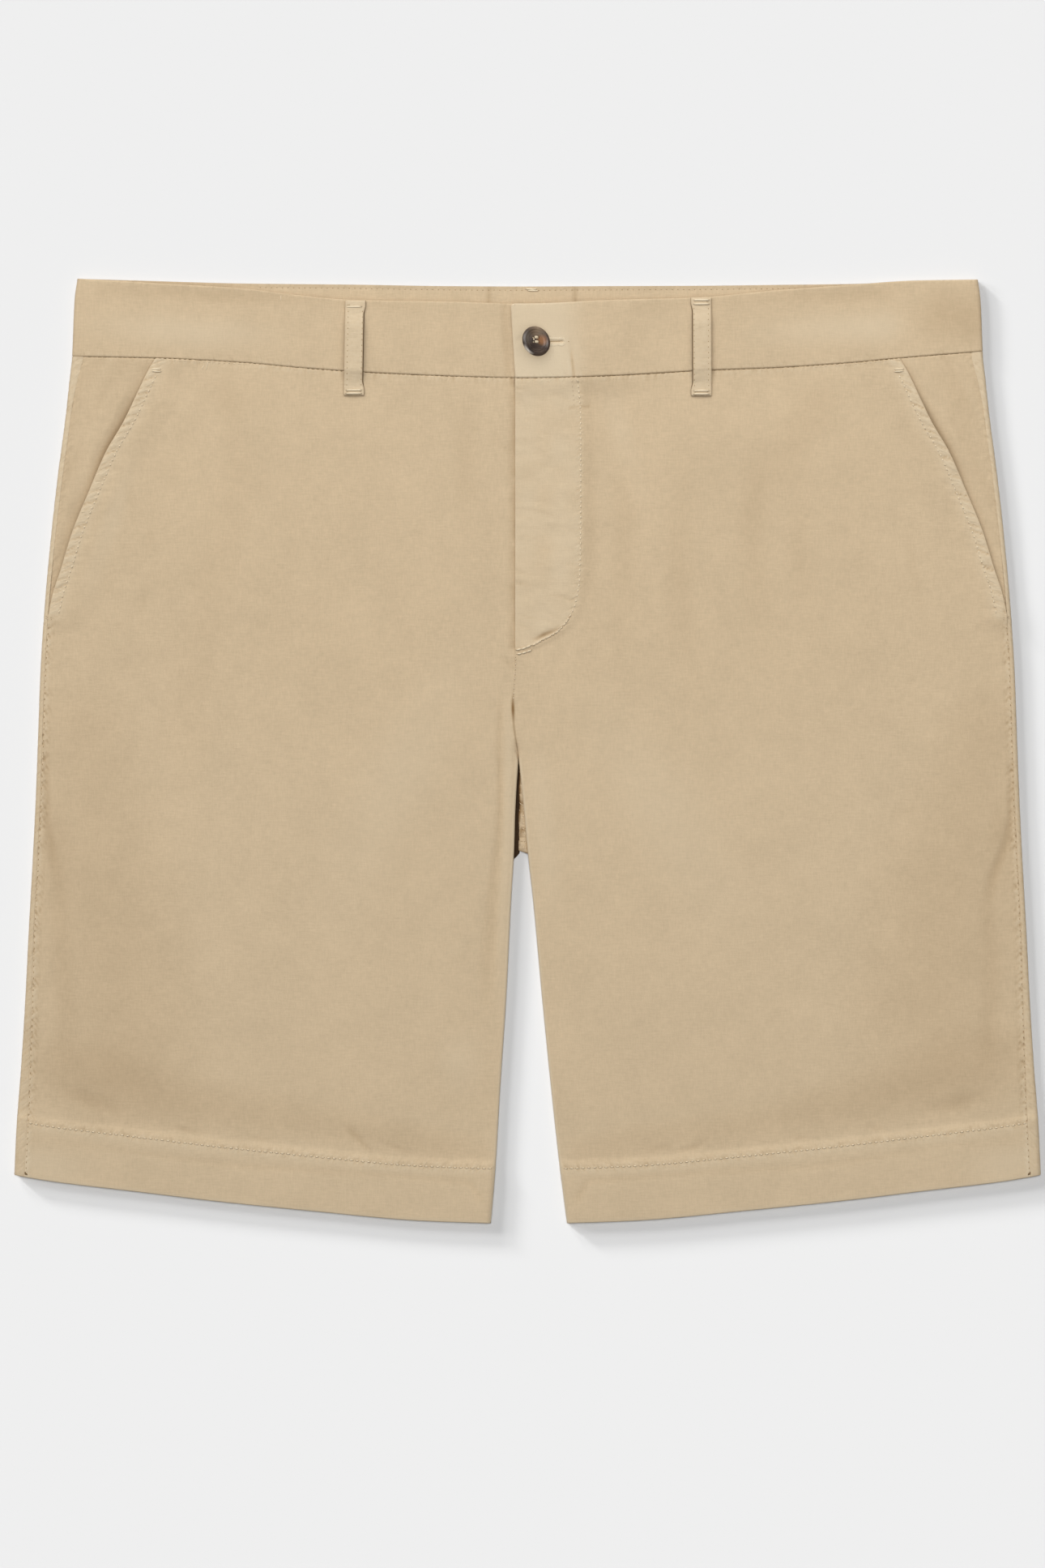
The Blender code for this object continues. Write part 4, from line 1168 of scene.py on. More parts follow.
def inner_seam_wear(side, points):
    """The seams on the inside of the back half of the band, in one list for both sides."""
    x, z = points[..., 0], points[..., 2]
    seams = sum(4.0 * depth * bell((x - place) / 0.6) for place, depth in INNER_SEAMS)
    return np.where(z > 2.0, 0.0, -seams)


def loop_wear_and_shade(loop, points):
    """The loop is worn paler down its middle, with painted shade down the side that stands off the band."""
    x = points[..., 0]
    wear = 0.5 + 0.0 * x
    columns = x.shape[1]
    shaded = [columns - 2, columns - 1] if loop.side == RIGHT else [0, 1]
    wear[:, [2, 3, columns - 4, columns - 3]] = 0.3
    # Painted shade down the edge that stands off the band.
    wear[:, shaded] = -3.4
    return wear


# %% [markdown]
# A sewn line gathers the cloth beside it into puckers too fine for the grid. So each point also gets its
# place by the nearest sewn line: how far along it, how far from it, and how strongly the stitches pull.
# The material draws the fine creases from that, slanted and uneven, as bumps with painted shade in the
# valleys and painted light on the puffs between, and the grid carries the broad ones.

# %% Pull of the seams
def strongest_pull(*pulls):
    """Of several (along, away, amount) fields, the one that pulls most, less what the next one pulls."""
    fields = np.stack([np.stack(np.broadcast_arrays(*pull), axis=-1) for pull in pulls])
    amounts = np.sort(fields[..., 2], axis=0)
    best = np.argmax(fields[..., 2], axis=0)
    strongest = np.take_along_axis(fields, best[None, ..., None], axis=0)[0].copy()
    strongest[..., 2] = np.clip(amounts[-1] - 1.5 * amounts[-2], 0.0, None)
    return strongest


def front_sewn(side, points):
    x, y = points[..., 0], points[..., 1]
    up = y - hem_line(x) - HEM_STITCH
    down = front_seam(x) - y
    outer = front_outer(y) - side * x
    at_pocket = above_foot(y, 4.0)
    inwards, along, strip = pocket_strip(side, x, y)
    beyond = 0.35 * fade((inwards - TOPSTITCH) / 6.0) * above_foot(y, 6.0)
    pulls = [
        (along, inwards, 0.42 * np.maximum(strip, beyond)),
        (y - 0.8 * outer, outer, 0.35 * (1.0 - at_pocket) * fade((outer - 1.0) / 4.0)),
        (side * x + 0.5 * up, up, 0.6 * bell(up / 2.6)),
        (x + 0.3 * down, down, 0.45 * fade(down / 6.0)),
    ]
    if side == LEFT:
        inside = fly_stitch(y) - x
        in_fly = above_fly_end(y)
        curved = 1.0 + fade((y - 62.0) / 20.0)
        pulls.append((y - 0.5 * x, inside, 0.5 * curved * in_fly * bell(inside / 2.4)))
    return strongest_pull(*pulls)


def back_sewn(side, points):
    x, y, z = points[..., 0], points[..., 1], points[..., 2]
    on_side = ease((side * x - half_width(y) + 9.0) / 3.0) * ease(z / 2.0)
    up = y - hem_line(x) - HEM_STITCH
    away = side * x - half_width(y) + side_strip(y)
    return strongest_pull(
        (y + 0.8 * away, away, 0.3 * on_side),
        (side * x + 0.5 * up, up, 0.6 * bell(up / 2.6)),
        (y, x, 0.7 * fade((side * (x - back_inner(side, y)) - 1.0) / 5.0)))


def band_sewn(side, points):
    """The pull of the band's two long edges, by one rule for both sides."""
    x, y, z = points[..., 0], points[..., 1], points[..., 2]
    behind = ease((2.0 - z) / 0.5)
    low = y - lerp(front_seam(x), back_seam(x), behind)
    high = lerp(front_top_edge(x), back_top_edge(x), behind) - y
    return strongest_pull(
        (x + 0.3 * low, low, 0.4 * fade(low / 5.0)),
        (x + 0.3 * high, high, 0.3 * fade(high / 4.0)))


def facing_sewn(side, points):
    x, y = points[..., 0], points[..., 1]
    outer = half_width(y) - side_strip(y) - side * x
    down = front_seam(x) - y
    return strongest_pull(
        (y - 0.8 * outer, outer, 0.3 * fade(outer / 4.0)),
        (x + 0.3 * down, down, 0.3 * fade(down / 6.0)))


def loop_sewn(points):
    x, y = points[..., 0], points[..., 1]
    return np.stack([y, x, np.full(x.shape, 0.22)], axis=-1)


# %% [markdown]
# ## Cotton twill
# Up close the cloth is a fine diagonal rib. From a step away it's a soft sandy surface with a faint
# cross-grain, slightly uneven dye and a dry sheen. The rib follows the cut lengths, so it turns with the
# cloth; the dye patches and the grain follow the piece's own coordinates.

# %% Material helpers
def new_material(name, roughness, sheen):
    """A material with its node tree, its shader and the sockets that are the same all over."""
    material = bpy.data.materials.new(name)
    material.use_nodes = True
    shader = material.node_tree.nodes["Principled BSDF"]
    shader.inputs["Roughness"].default_value = roughness
    shader.inputs["Sheen Weight"].default_value = sheen
    shader.inputs["Sheen Roughness"].default_value = 0.5
    shader.inputs["Sheen Tint"].default_value = (0.95, 0.74, 0.50, 1.0)
    shader.inputs["Specular IOR Level"].default_value = 0.2
    return material, material.node_tree, shader


def add_node(tree, kind, **settings):
    node = tree.nodes.new(kind)
    for key, value in settings.items():
        setattr(node, key, value)
    return node


def noise(tree, vector, scale, detail, roughness=0.5):
    """A noise texture, read from the given coordinates."""
    node = add_node(tree, "ShaderNodeTexNoise")
    node.inputs["Scale"].default_value = scale
    node.inputs["Detail"].default_value = detail
    node.inputs["Roughness"].default_value = roughness
    tree.links.new(vector, node.inputs["Vector"])
    return node.outputs["Fac"]


def stretched(tree, vector, scale):
    """Coordinates scaled by another amount each way, for streaks."""
    node = add_node(tree, "ShaderNodeMapping")
    node.inputs["Scale"].default_value = scale
    tree.links.new(vector, node.inputs["Vector"])
    return node.outputs["Vector"]


def maths(tree, operation, first, second):
    """One arithmetic step; either term may be a number or a socket."""
    node = add_node(tree, "ShaderNodeMath", operation=operation)
    for socket, term in zip(node.inputs, (first, second)):
        if isinstance(term, (int, float)):
            socket.default_value = term
        else:
            tree.links.new(term, socket)
    return node.outputs["Value"]


def clamped(socket):
    """The same value, held between 0 and 1."""
    socket.node.use_clamp = True
    return socket


def centred(tree, field, middle, share):
    """How far a field is from its middle, times a share."""
    return maths(tree, "MULTIPLY", maths(tree, "SUBTRACT", field, middle), share)


def mixed(tree, share, first, second):
    """A colour between two, each a colour or a socket."""
    node = add_node(tree, "ShaderNodeMix", data_type="RGBA", clamp_factor=False)
    tree.links.new(share, node.inputs["Factor"])
    for name, term in (("A", first), ("B", second)):
        socket = [s for s in node.inputs if s.name == name and s.type == "RGBA"][0]
        if isinstance(term, tuple):
            socket.default_value = (*term, 1.0)
        else:
            tree.links.new(term, socket)
    return [s for s in node.outputs if s.type == "RGBA"][0]


def bumped(tree, height, distance, strength, before=None):
    """A bump from a height socket, on top of another bump."""
    node = add_node(tree, "ShaderNodeBump")
    node.inputs["Distance"].default_value = distance
    node.inputs["Strength"].default_value = strength
    tree.links.new(height, node.inputs["Height"])
    if before is not None:
        tree.links.new(before, node.inputs["Normal"])
    return node.outputs["Normal"]


# %% Twill
# Two dye tones, and the worn colour that wear and painted light lift the cloth towards. Painted shade, and
# the dark seams inside the band, take the cloth down to the brown and then to the deepest colour.
TWILL_DARK = (0.552, 0.426, 0.275)
TWILL_LIGHT = (0.608, 0.469, 0.304)
TWILL_WORN_AND_LIT = (0.650, 0.533, 0.371)
TWILL_BROWN = (0.26, 0.155, 0.065)
TWILL_DEEP = (0.035, 0.018, 0.007)


def make_twill():
    material, tree, shader = new_material("sand_cotton_twill", 0.88, 0.12)
    where = add_node(tree, "ShaderNodeTexCoord").outputs["Object"]
    cut = add_node(tree, "ShaderNodeUVMap", uv_map="cut").outputs["UV"]
    warp = noise(tree, stretched(tree, where, (1150.0, 210.0, 400.0)), 1.0, 2.0, 0.6)
    weft = noise(tree, stretched(tree, where, (190.0, 1050.0, 400.0)), 1.0, 2.0, 0.6)
    grain = maths(tree, "ADD", warp, weft)
    tone = 0.5
    for field, share in (
            (noise(tree, where, 24.0, 2.0, 0.5), 1.1), (noise(tree, where, 95.0, 2.0, 0.55), 1.0),
            (noise(tree, where, 330.0, 2.0, 0.6), 1.2), (warp, 1.8), (weft, 1.8)):
        tone = maths(tree, "ADD", centred(tree, field, 0.5, share), tone)
    colour = mixed(tree, tone, TWILL_DARK, TWILL_LIGHT)
    wear = add_node(tree, "ShaderNodeAttribute", attribute_name="wear").outputs["Fac"]
    sewn = add_node(tree, "ShaderNodeAttribute", attribute_name="sewn").outputs["Vector"]
    parts = add_node(tree, "ShaderNodeSeparateXYZ")
    tree.links.new(sewn, parts.inputs["Vector"])
    pull = parts.outputs["Z"]
    # Fine crease valleys beside the seams: bumps, with painted shade in them. The puffs between them are
    # bumped and painted lighter.
    crease = noise(tree, stretched(tree, sewn, (0.40, 0.10, 0.0)), 1.0, 1.0, 0.5)
    crease = maths(tree, "MULTIPLY", clamped(centred(tree, crease, 0.53, 7.0)), pull)
    puff = noise(tree, stretched(tree, sewn, (0.62, 0.30, 0.0)), 1.0, 1.0, 0.5)
    puff = centred(tree, puff, 0.5, pull)
    # Wear lightens the cloth, and so does painted light on the folded edges, fold ridges and puffs.
    tone_marks = clamped(maths(tree, "ADD", wear, maths(tree, "MULTIPLY", puff, 3.0)))
    colour = mixed(tree, tone_marks, colour, TWILL_WORN_AND_LIT)
    # Painted shade in the fine creases, and wherever the number is below 0, darkens the cloth to brown and
    # then to near black.
    shade = maths(tree, "MULTIPLY", crease, 0.14)
    deep = clamped(maths(tree, "SUBTRACT", shade, maths(tree, "MULTIPLY", wear, 0.25)))
    brown = clamped(maths(tree, "MULTIPLY", deep, 2.0))
    colour = mixed(tree, brown, colour, TWILL_BROWN)
    darkest = clamped(maths(tree, "SUBTRACT", maths(tree, "MULTIPLY", deep, 2.0), 1.0))
    colour = mixed(tree, darkest, colour, TWILL_DEEP)
    tree.links.new(colour, shader.inputs["Base Color"])
    rib = add_node(tree, "ShaderNodeTexWave", bands_direction="DIAGONAL")
    rib.inputs["Scale"].default_value = 900.0
    rib.inputs["Distortion"].default_value = 1.2
    rib.inputs["Detail Scale"].default_value = 0.6
    tree.links.new(cut, rib.inputs["Vector"])
    bump = bumped(tree, rib.outputs["Fac"], 0.00008, 0.16)
    bump = bumped(tree, grain, 0.00016, 0.55, bump)
    gather = maths(tree, "SUBTRACT", puff, maths(tree, "MULTIPLY", crease, 0.5))
    bump = bumped(tree, gather, 0.0009, 0.6, bump)
    tree.links.new(bump, shader.inputs["Normal"])
    return material


def make_thread(name, light, dark):
    """Sewing thread: a twisted, slightly shiny strand."""
    material, tree, shader = new_material(name, 0.6, 0.2)
    where = add_node(tree, "ShaderNodeTexCoord").outputs["Object"]
    tone = noise(tree, where, 420.0, 2.0)
    tree.links.new(mixed(tree, tone, dark, light), shader.inputs["Base Color"])
    twist = add_node(tree, "ShaderNodeTexWave", bands_direction="DIAGONAL")
    twist.inputs["Scale"].default_value = 1400.0
    tree.links.new(where, twist.inputs["Vector"])
    tree.links.new(bumped(tree, twist.outputs["Fac"], 0.00005, 0.5), shader.inputs["Normal"])
    return material


twill = make_twill()
thread = make_thread("sand_thread", (0.70, 0.575, 0.405), (0.57, 0.455, 0.305))
pale_thread = make_thread("pale_thread", (0.77, 0.66, 0.48), (0.68, 0.56, 0.39))
# Dark specks of painted shade: at needle holes, in tack creases, in the buttonhole's slit, and for rows of
# stitches seen only as dots.
shade_speck = make_thread("shade_speck", (0.42, 0.29, 0.16), (0.31, 0.20, 0.10))
# Dark beads of painted shade, along the waist seam and in the notches at the hem corners.
shade_beads = make_thread("shade_beads", (0.22, 0.145, 0.065), (0.14, 0.085, 0.035))
for dark in (shade_speck, shade_beads):
    dark.node_tree.nodes["Principled BSDF"].inputs["Sheen Weight"].default_value = 0.0
print("materials:", [m.name for m in (twill, thread, pale_thread, shade_speck, shade_beads)])


# %% [markdown]
# ## Dressing the solids
# Each shell takes the place of its solid, which stays in the imported model for collision. The shell rides
# on the one body there is and is given its material.

# %% Attach a finished piece
def attach(piece, material, node=None):
    """Gives a piece its material, puts it on what it rides on and hides the solid it stands for."""
    piece.data.materials.clear()
    piece.data.materials.append(material)
    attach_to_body(piece, "root")
    if node is not None:
        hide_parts(node)
    return piece


# %% Cloth pieces
Panel = namedtuple("Panel", "node points wear sewn wall turned_side lining_wear")
PANELS = {
    "front": Panel("front_", front_points, front_wear_light_and_shade, front_sewn, CLOTH, RIGHT, None),
    "back": Panel("back_", back_points, back_wear_and_shade, back_sewn, CLOTH, LEFT, web_shade),
    "facing": Panel("pocket_facing_", facing_points, facing_tone_and_shade, facing_sewn, CLOTH, RIGHT, None),
    "band": Panel("waistband_", band_points, band_wear_light_and_shade, band_sewn, BAND_WALL, RIGHT, inner_seam_wear),
}
cloth = {}
for side, word in SIDES.items():
    for kind, panel in PANELS.items():
        points = panel.points(side)
        shell = cloth_shell(
            f"cloth_{kind}_{word}", points, panel.wear(side, points), panel.sewn(side, points), panel.wall,
            side == panel.turned_side, panel.lining_wear(side, points) if panel.lining_wear else 0.0)
        cloth[kind, side] = attach(shell, twill, panel.node + word)
for loop in LOOPS:
    word = SIDES[loop.side]
    points = loop_points(loop)
    shell = cloth_shell(
        f"cloth_loop_{word}", points, loop_wear_and_shade(loop, points), loop_sewn(points), LOOP_WALL, False)
    cloth["loop", loop.side] = attach(shell, twill, "belt_loop_" + word)

# %% [markdown]
# A pattern piece isn't a rectangle, so `Cut` has columns for the width and length of the rectangle that it
# is cut from, its own area in square metres, and what it rests on. No cut is made in this script.

Cut = namedtuple("Cut", "width length area rests_on")


# %% [markdown]
# ## Sewing
# One stitch is modelled: a small bead of thread, thin at both ends where it dives into the cloth. It is
# laid many times along each sewn line by dropping both of its ends on the cloth below, and each line of
# stitches is joined as one mesh. Some rows also have a dark speck of painted shade at each needle hole,
# and dark beads of painted shade stand for the broken line of shade along the waist seam.

# %% One stitch and how it is laid
STITCH_SIDES = 6
STITCH_RINGS = 4
clear_selection()
bpy.ops.mesh.primitive_uv_sphere_add(segments=STITCH_SIDES, ring_count=STITCH_RINGS, radius=0.5)
bead = bpy.context.active_object
bead_points = np.array([vertex.co[:] for vertex in bead.data.vertices])[:, [2, 0, 1]]
bead_faces = [tuple(face.vertices) for face in bead.data.polygons]
bpy.data.objects.remove(bead)
trees = {}


def tree_of(piece):
    """The search tree of a piece, made once."""
    if piece.name not in trees:
        trees[piece.name] = BVHTree.FromObject(piece, bpy.context.evaluated_depsgraph_get())
    return trees[piece.name]


def drop_on(pieces, x, y, direction):
    """The first cloth met from above (direction -1) or from below (+1): its place and normal, in mm."""
    start = Vector((x * MM, y * MM, -0.05 * direction))
    nearest = None
    for piece in pieces:
        place, normal, _, distance = tree_of(piece).ray_cast(start, Vector((0, 0, direction)))
        if place is not None and (nearest is None or distance < nearest[0]):
            nearest = (distance, place, normal)
    if nearest is None:
        return None
    return np.array(nearest[1]) / MM, np.array(nearest[2])


Sewn = namedtuple("Sewn", "starts ends")
Stitch = namedtuple("Stitch", "width height lift")
TOP = Stitch(0.62, 0.5, 0.06)
FINE = Stitch(0.5, 0.42, 0.03)
HEAVY = Stitch(1.05, 0.85, 0.2)
ROUND = Stitch(0.85, 0.6, 0.08)
SPECK = Stitch(0.46, 0.2, 0.02)
PROUD = Stitch(0.85, 0.6, 0.13)
# The speck of painted shade at a needle hole.
HOLE_SHADE = Stitch(0.42, 0.16, 0.0)


def bead_mesh(name, places, material):
    """Copies of the bead, each placed by its two ends and a normal, joined as one mesh."""
    count = len(bead_points)
    vertices = []
    faces = []
    for start, end, normal, stitch in places:
        along = end - start
        length = np.linalg.norm(along)
        along = along / length
        across = np.cross(normal, along)
        across = across / np.linalg.norm(across)
        upright = np.cross(along, across)
        middle = (start + end) / 2 + upright * stitch.lift
        faces += [tuple(i + len(vertices) * count for i in face) for face in bead_faces]
        vertices.append(middle + bead_points[:, :1] * along * length
                        + bead_points[:, 1:2] * across * stitch.width
                        + bead_points[:, 2:] * upright * stitch.height)
    mesh = bpy.data.meshes.new(name)
    mesh.from_pydata((np.concatenate(vertices) * MM).tolist(), [], faces)
    mesh.shade_smooth()
    piece = placed(name, mesh)
    print(f"{name}: {len(places)} beads")
    return attach(piece, material)


def sew(name, seam, pieces, stitch, material=thread, direction=-1, hole_shade=False, step=1.2):
    """Lays every stitch of a seam on the cloth below, but none across a step higher than `step`."""
    places = []
    specks = []
    for start, end in zip(seam.starts, seam.ends):
        first = drop_on(pieces, *start, direction)
        last = drop_on(pieces, *end, direction)
        if first is None or last is None or abs(first[0][2] - last[0][2]) > step:
            continue
        normal = first[1] + last[1]
        normal = normal / np.linalg.norm(normal)
        places.append((first[0], last[0], normal, stitch))
        run = (last[0] - first[0]) / np.linalg.norm(last[0] - first[0])
        for place in (first[0] - 0.1 * run, last[0] + 0.1 * run):
            specks.append((place - 0.24 * run, place + 0.24 * run, normal, HOLE_SHADE))
    bead_mesh(name, places, material)
    # Specks of painted shade at the needle holes.
    if hole_shade:
        bead_mesh(name + "_holes", specks, shade_speck)


# %% Stitch lines
def stitches_along(path, pitch, share, seed):
    """Stitches of an even pitch along a path, each a little off true."""
    steps = np.linalg.norm(np.diff(path, axis=0), axis=1)
    lengths = np.concatenate([[0.0], np.cumsum(steps)])
    count = max(1, round(lengths[-1] / pitch))
    middles = (np.arange(count) + 0.5) * lengths[-1] / count
    half = share * lengths[-1] / count / 2
    wander = np.random.default_rng(seed).normal(0.0, 0.05, (2, count, 2))

    def at(place):
        return np.stack([np.interp(place, lengths, line) for line in path.T], axis=-1)

    return Sewn(at(middles - half) + wander[0], at(middles + half) + wander[1])


def bars(*ends):
    """Long stitches, each from one point to another."""
    return Sewn([end[:2] for end in ends], [end[2:] for end in ends])


def line_over(xs, height_at):
    return np.stack([xs, height_at(xs)], axis=-1)


def line_up(heights, x_at):
    return np.stack([x_at(heights), heights], axis=-1)


# %% Sew the pockets
for side, word in SIDES.items():
    front = [cloth["front", side]]
    edge = line_up(np.linspace(76.0, 209.0, 90), lambda y: side * (mouth_edge(y) - TOPSTITCH))
    topstitch = stitches_along(edge, 2.9, 0.5, seed=side + 3)
    sew(f"pocket_topstitch_{word}", topstitch, front, PROUD, pale_thread)
    top_tack = bars(
        (side * 209.0, 212.1, side * 203.4, 211.8),
        (side * 208.8, 210.9, side * 203.2, 210.6))
    bottom_tack = bars(
        (side * 267.2, 74.8, side * 264.6, 74.2),
        (side * 267.2, 73.6, side * 264.4, 73.0))
    sew(f"pocket_tacks_{word}", top_tack, front, HEAVY, pale_thread)
    sew(f"pocket_end_tacks_{word}", bottom_tack, [*front, cloth["back", side]], TOP, hole_shade=True, step=2.5)

# %% Sew the fly
fly_front = [cloth["front", LEFT]]
backs = [cloth["back", RIGHT], cloth["back", LEFT]]
fly_line = line_up(np.linspace(209.5, 58.6, 300), fly_stitch)
fly_top = np.stack([np.linspace(24.6, 26.0, 20), np.linspace(206.5, 191.5, 20)], axis=-1)
sew("fly_topstitch", stitches_along(fly_line, 2.9, 0.55, seed=8), fly_front, ROUND, pale_thread)
sew("fly_facing_stitch", stitches_along(fly_top, 2.6, 0.6, seed=9), fly_front, FINE)
fly_tacks = bars(
    (-6.4, 56.2, -3.4, 56.8), (-3.6, 56.7, -0.8, 57.6), (-1.0, 57.5, 1.9, 58.8), (-5.9, 53.8, -3.1, 54.4),
    (-3.3, 54.3, -0.5, 55.2), (-0.7, 55.1, 2.3, 56.2))
fly_layers = [cloth["front", RIGHT], *fly_front, *backs]
sew("fly_tacks", fly_tacks, fly_layers, Stitch(1.15, 0.9, 0.2), pale_thread, hole_shade=True, step=2.5)
rope = line_up(np.linspace(76.0, 58.6, 60), fly_stitch)
sew("fly_rope", stitches_along(rope, 2.0, 0.8, seed=10), fly_front, Stitch(1.05, 0.8, 0.16), hole_shade=True)
knot = bars(
    (28.0, 208.2, 29.8, 206.9), (30.2, 208.5, 32.2, 207.3), (32.8, 208.6, 34.4, 207.8),
    (27.2, 206.2, 28.3, 205.0))
sew("fly_top_knot", knot, fly_front, HEAVY, pale_thread)
crotch = bars(*[
    (centre_edge[LEFT](height) + 0.5, height + 0.7, centre_edge[LEFT](height) + 0.4, height - 0.6)
    for height in np.arange(51.0, 28.0, -2.7)])
sew("crotch_stitches", crotch, fly_front, Stitch(0.7, 0.5, 0.02), hole_shade=True)
overlock = []
for row_x, row_seed, row_step in ((-3.7, 91, -4.2), (-2.2, 92, -3.4), (-0.8, 93, -2.9)):
    wander = np.random.default_rng(row_seed).uniform(-0.8, 0.8, (40, 2))
    for height, (start, end) in zip(np.arange(-12.0, -54.0, row_step), wander):
        overlock.append((row_x - 0.5 + start, height + end, row_x + 0.6 + end, height - 0.9 + start))
sew("web_overlock", bars(*overlock), backs, FINE, hole_shade=True, step=2.5)

# %% Sew the hems
for side, word in SIDES.items():
    inner_x = centre_edge[side](-232.0) + side * 1.6
    hem_path = line_over(np.linspace(inner_x, side * 277.5, 160), lambda x: hem_line(x) + HEM_STITCH)
    layers = [cloth["front", side], cloth["back", side]]
    above = stitches_along(hem_path, 3.2, 0.52, seed=20 + side)
    below = stitches_along(hem_path, 3.2, 0.5, seed=30 + side)
    sew(f"hem_stitches_{word}", above, layers, PROUD, pale_thread, hole_shade=True)
    sew(f"hem_stitches_back_{word}", below, layers, ROUND, direction=1, hole_shade=True)

# %% Sew the side seams and the waist seam
Run = namedtuple("Run", "start end pitch share width")
# Runs of dark beads of painted shade along the waist seam: where each starts and ends, its pitch, the share
# of each step that a bead takes, and the bead's width.
WAIST_RUNS = {
    RIGHT: table(
        Run, (-247, -211, 2.8, 0.9, 0.5), (-211, -150, 2.8, 0.6, 0.5), (-150, -123, 3, 0.5, 0.45),
        (-123, -102, 2.6, 0.66, 0.9), (-90.6, -60, 2.6, 0.98, 0.75), (-60, -7.6, 2.7, 0.7, 0.6)),
    LEFT: table(
        Run, (-6.6, 27, 2.6, 0.62, 0.65), (27, 90.6, 2.8, 0.98, 0.75), (102.4, 116, 2.6, 0.75, 0.85),
        (116, 206, 2.7, 0.66, 0.6), (206, 248, 2.8, 0.9, 0.5)),
}
for side, word in SIDES.items():
    layers = [cloth["front", side], cloth["back", side]]
    edge = line_up(np.linspace(70.0, -233.0, 200), lambda y: side * (half_width(y) - side_strip(y) - 0.6))
    beside = stitches_along(edge, 3.3, 0.34, seed=40 + side)
    # The side seam's stitches show only as specks of painted shade.
    sew(f"side_stitches_{word}", beside, layers, SPECK, shade_speck)
    # Painted shade in the notch at the hem's corner.
    notch = bars((side * 278.9, -233.2, side * 278.6, -235.2), (side * 278.2, -234.0, side * 277.8, -235.4))
    sew(f"hem_notch_{word}", notch, layers, Stitch(0.8, 0.3, 0.02), shade_beads)
    layers = [cloth["front", side], cloth["band", side], cloth["facing", side]]
    for number, run in enumerate(WAIST_RUNS[side]):
        waist = line_over(np.linspace(run.start, run.end, 40), lambda x: front_seam(x) - 0.12)
        dashes = stitches_along(waist, run.pitch, run.share, seed=50 + side + 3 * number)
        sew(f"waist_seam_{word}_{number + 1}", dashes, layers, Stitch(run.width, 0.3, 0.1), shade_beads)
    caught = line_over(np.linspace(side * 156.0, side * 200.0, 40), lambda x: front_seam(x) - 1.0)
    sew(f"waist_stitches_{word}", stitches_along(caught, 2.7, 0.4, seed=52 + side), layers, FINE)


# %% Sew the belt loops
def across_loop(loop, reach, heights):
    """Bars straight across a belt loop."""
    return bars(*[(loop.x_bottom - reach, y, loop.x_bottom + reach, y + 0.1) for y in heights])


for loop in LOOPS:
    word = SIDES[loop.side]
    strip = [cloth["loop", loop.side]]
    top = front_top_edge(loop.x_top) - GAP
    rows = []
    for across in (-LOOP_STITCH, LOOP_STITCH):
        path = np.array([(loop.x_bottom + across, loop.bottom + 4.2), (loop.x_top + across, top - 4.6)])
        rows.append(stitches_along(path, 3.1, 0.24, seed=60 + int(across)))
    both_rows = Sewn(*(np.concatenate(ends) for ends in zip(*rows)))
    # The loop's stitches show only as specks of painted shade.
    sew(f"loop_stitches_{word}", both_rows, strip, SPECK, shade_speck)
    tacks = across_loop(loop, 4.8, (loop.bottom + 1.1, loop.bottom + 2.9, top - 1.4, top - 3.6))
    sew(f"loop_tacks_{word}", tacks, strip, Stitch(1.3, 1.0, 0.3), pale_thread)
    # Painted shade in the creases beside the tacks.
    creases = across_loop(loop, 4.4, (loop.bottom + 0.2, loop.bottom + 2.0, top - 2.5))
    sew(f"loop_tack_creases_{word}", creases, strip, SPECK, shade_speck)

# %% Sew the back of the band and the loose ticks
bands = [cloth["band", RIGHT], cloth["band", LEFT]]
inner_top = line_over(np.linspace(-150.0, 150.0, 120), lambda x: back_top_edge(x) - 2.1)
# The stitches inside the back of the band show only as specks of painted shade.
sew("band_back_stitches", stitches_along(inner_top, 3.1, 0.26, seed=70), bands, SPECK, shade_speck)
back_tack = bars((-1.4, 256.6, 5.4, 256.5), (-0.4, 255.7, 6.4, 255.6))
sew("band_back_tack", back_tack, bands, HEAVY, pale_thread)
ticks = bars((-177.2, 216.2, -178.8, 211.1), (-179.6, 214.6, -180.6, 211.6))
sew("waist_ticks", ticks, [cloth["front", RIGHT]], FINE, pale_thread)
sew("band_tick", bars((-136.9, 253.0, -136.9, 249.8)), bands, FINE, pale_thread)

# %% [markdown]
# The buttonhole is a slit with a round eye, whipped all round with short cross stitches. They stand across
# the edge of the slit, so each one is laid at a right angle to the path round it.

# %% Work the buttonhole
HOLE_Y = 227.2
HOLE_START = 11.0
HOLE_END = 18.6
EYE = 1.7
SLIT = 1.3
WHIP = 1.9


def round_the_hole():
    """Points round the slit and the eye, with the way out from the edge at each."""
    straight = np.arange(HOLE_START, HOLE_END - EYE, 0.5)
    turns = np.linspace(math.radians(140.0), math.radians(-140.0), 19)
    points = [(x, HOLE_Y + SLIT, 0.0, 1.0) for x in straight]
    for turn in turns:
        out_x, out_y = math.cos(turn), math.sin(turn)
        points.append((HOLE_END + EYE * out_x * 0.9, HOLE_Y + EYE * out_y * 0.9, out_x, out_y))
    points += [(x, HOLE_Y - SLIT, 0.0, -1.0) for x in straight[::-1]]
    return points


whips = bars(*[
    (x - out_x * WHIP / 3, y - out_y * WHIP / 3, x + out_x * WHIP * 2 / 3, y + out_y * WHIP * 2 / 3)
    for x, y, out_x, out_y in round_the_hole()])
sew("buttonhole_stitches", whips, [cloth["band", LEFT]], Stitch(0.9, 0.3, 0.02), pale_thread)
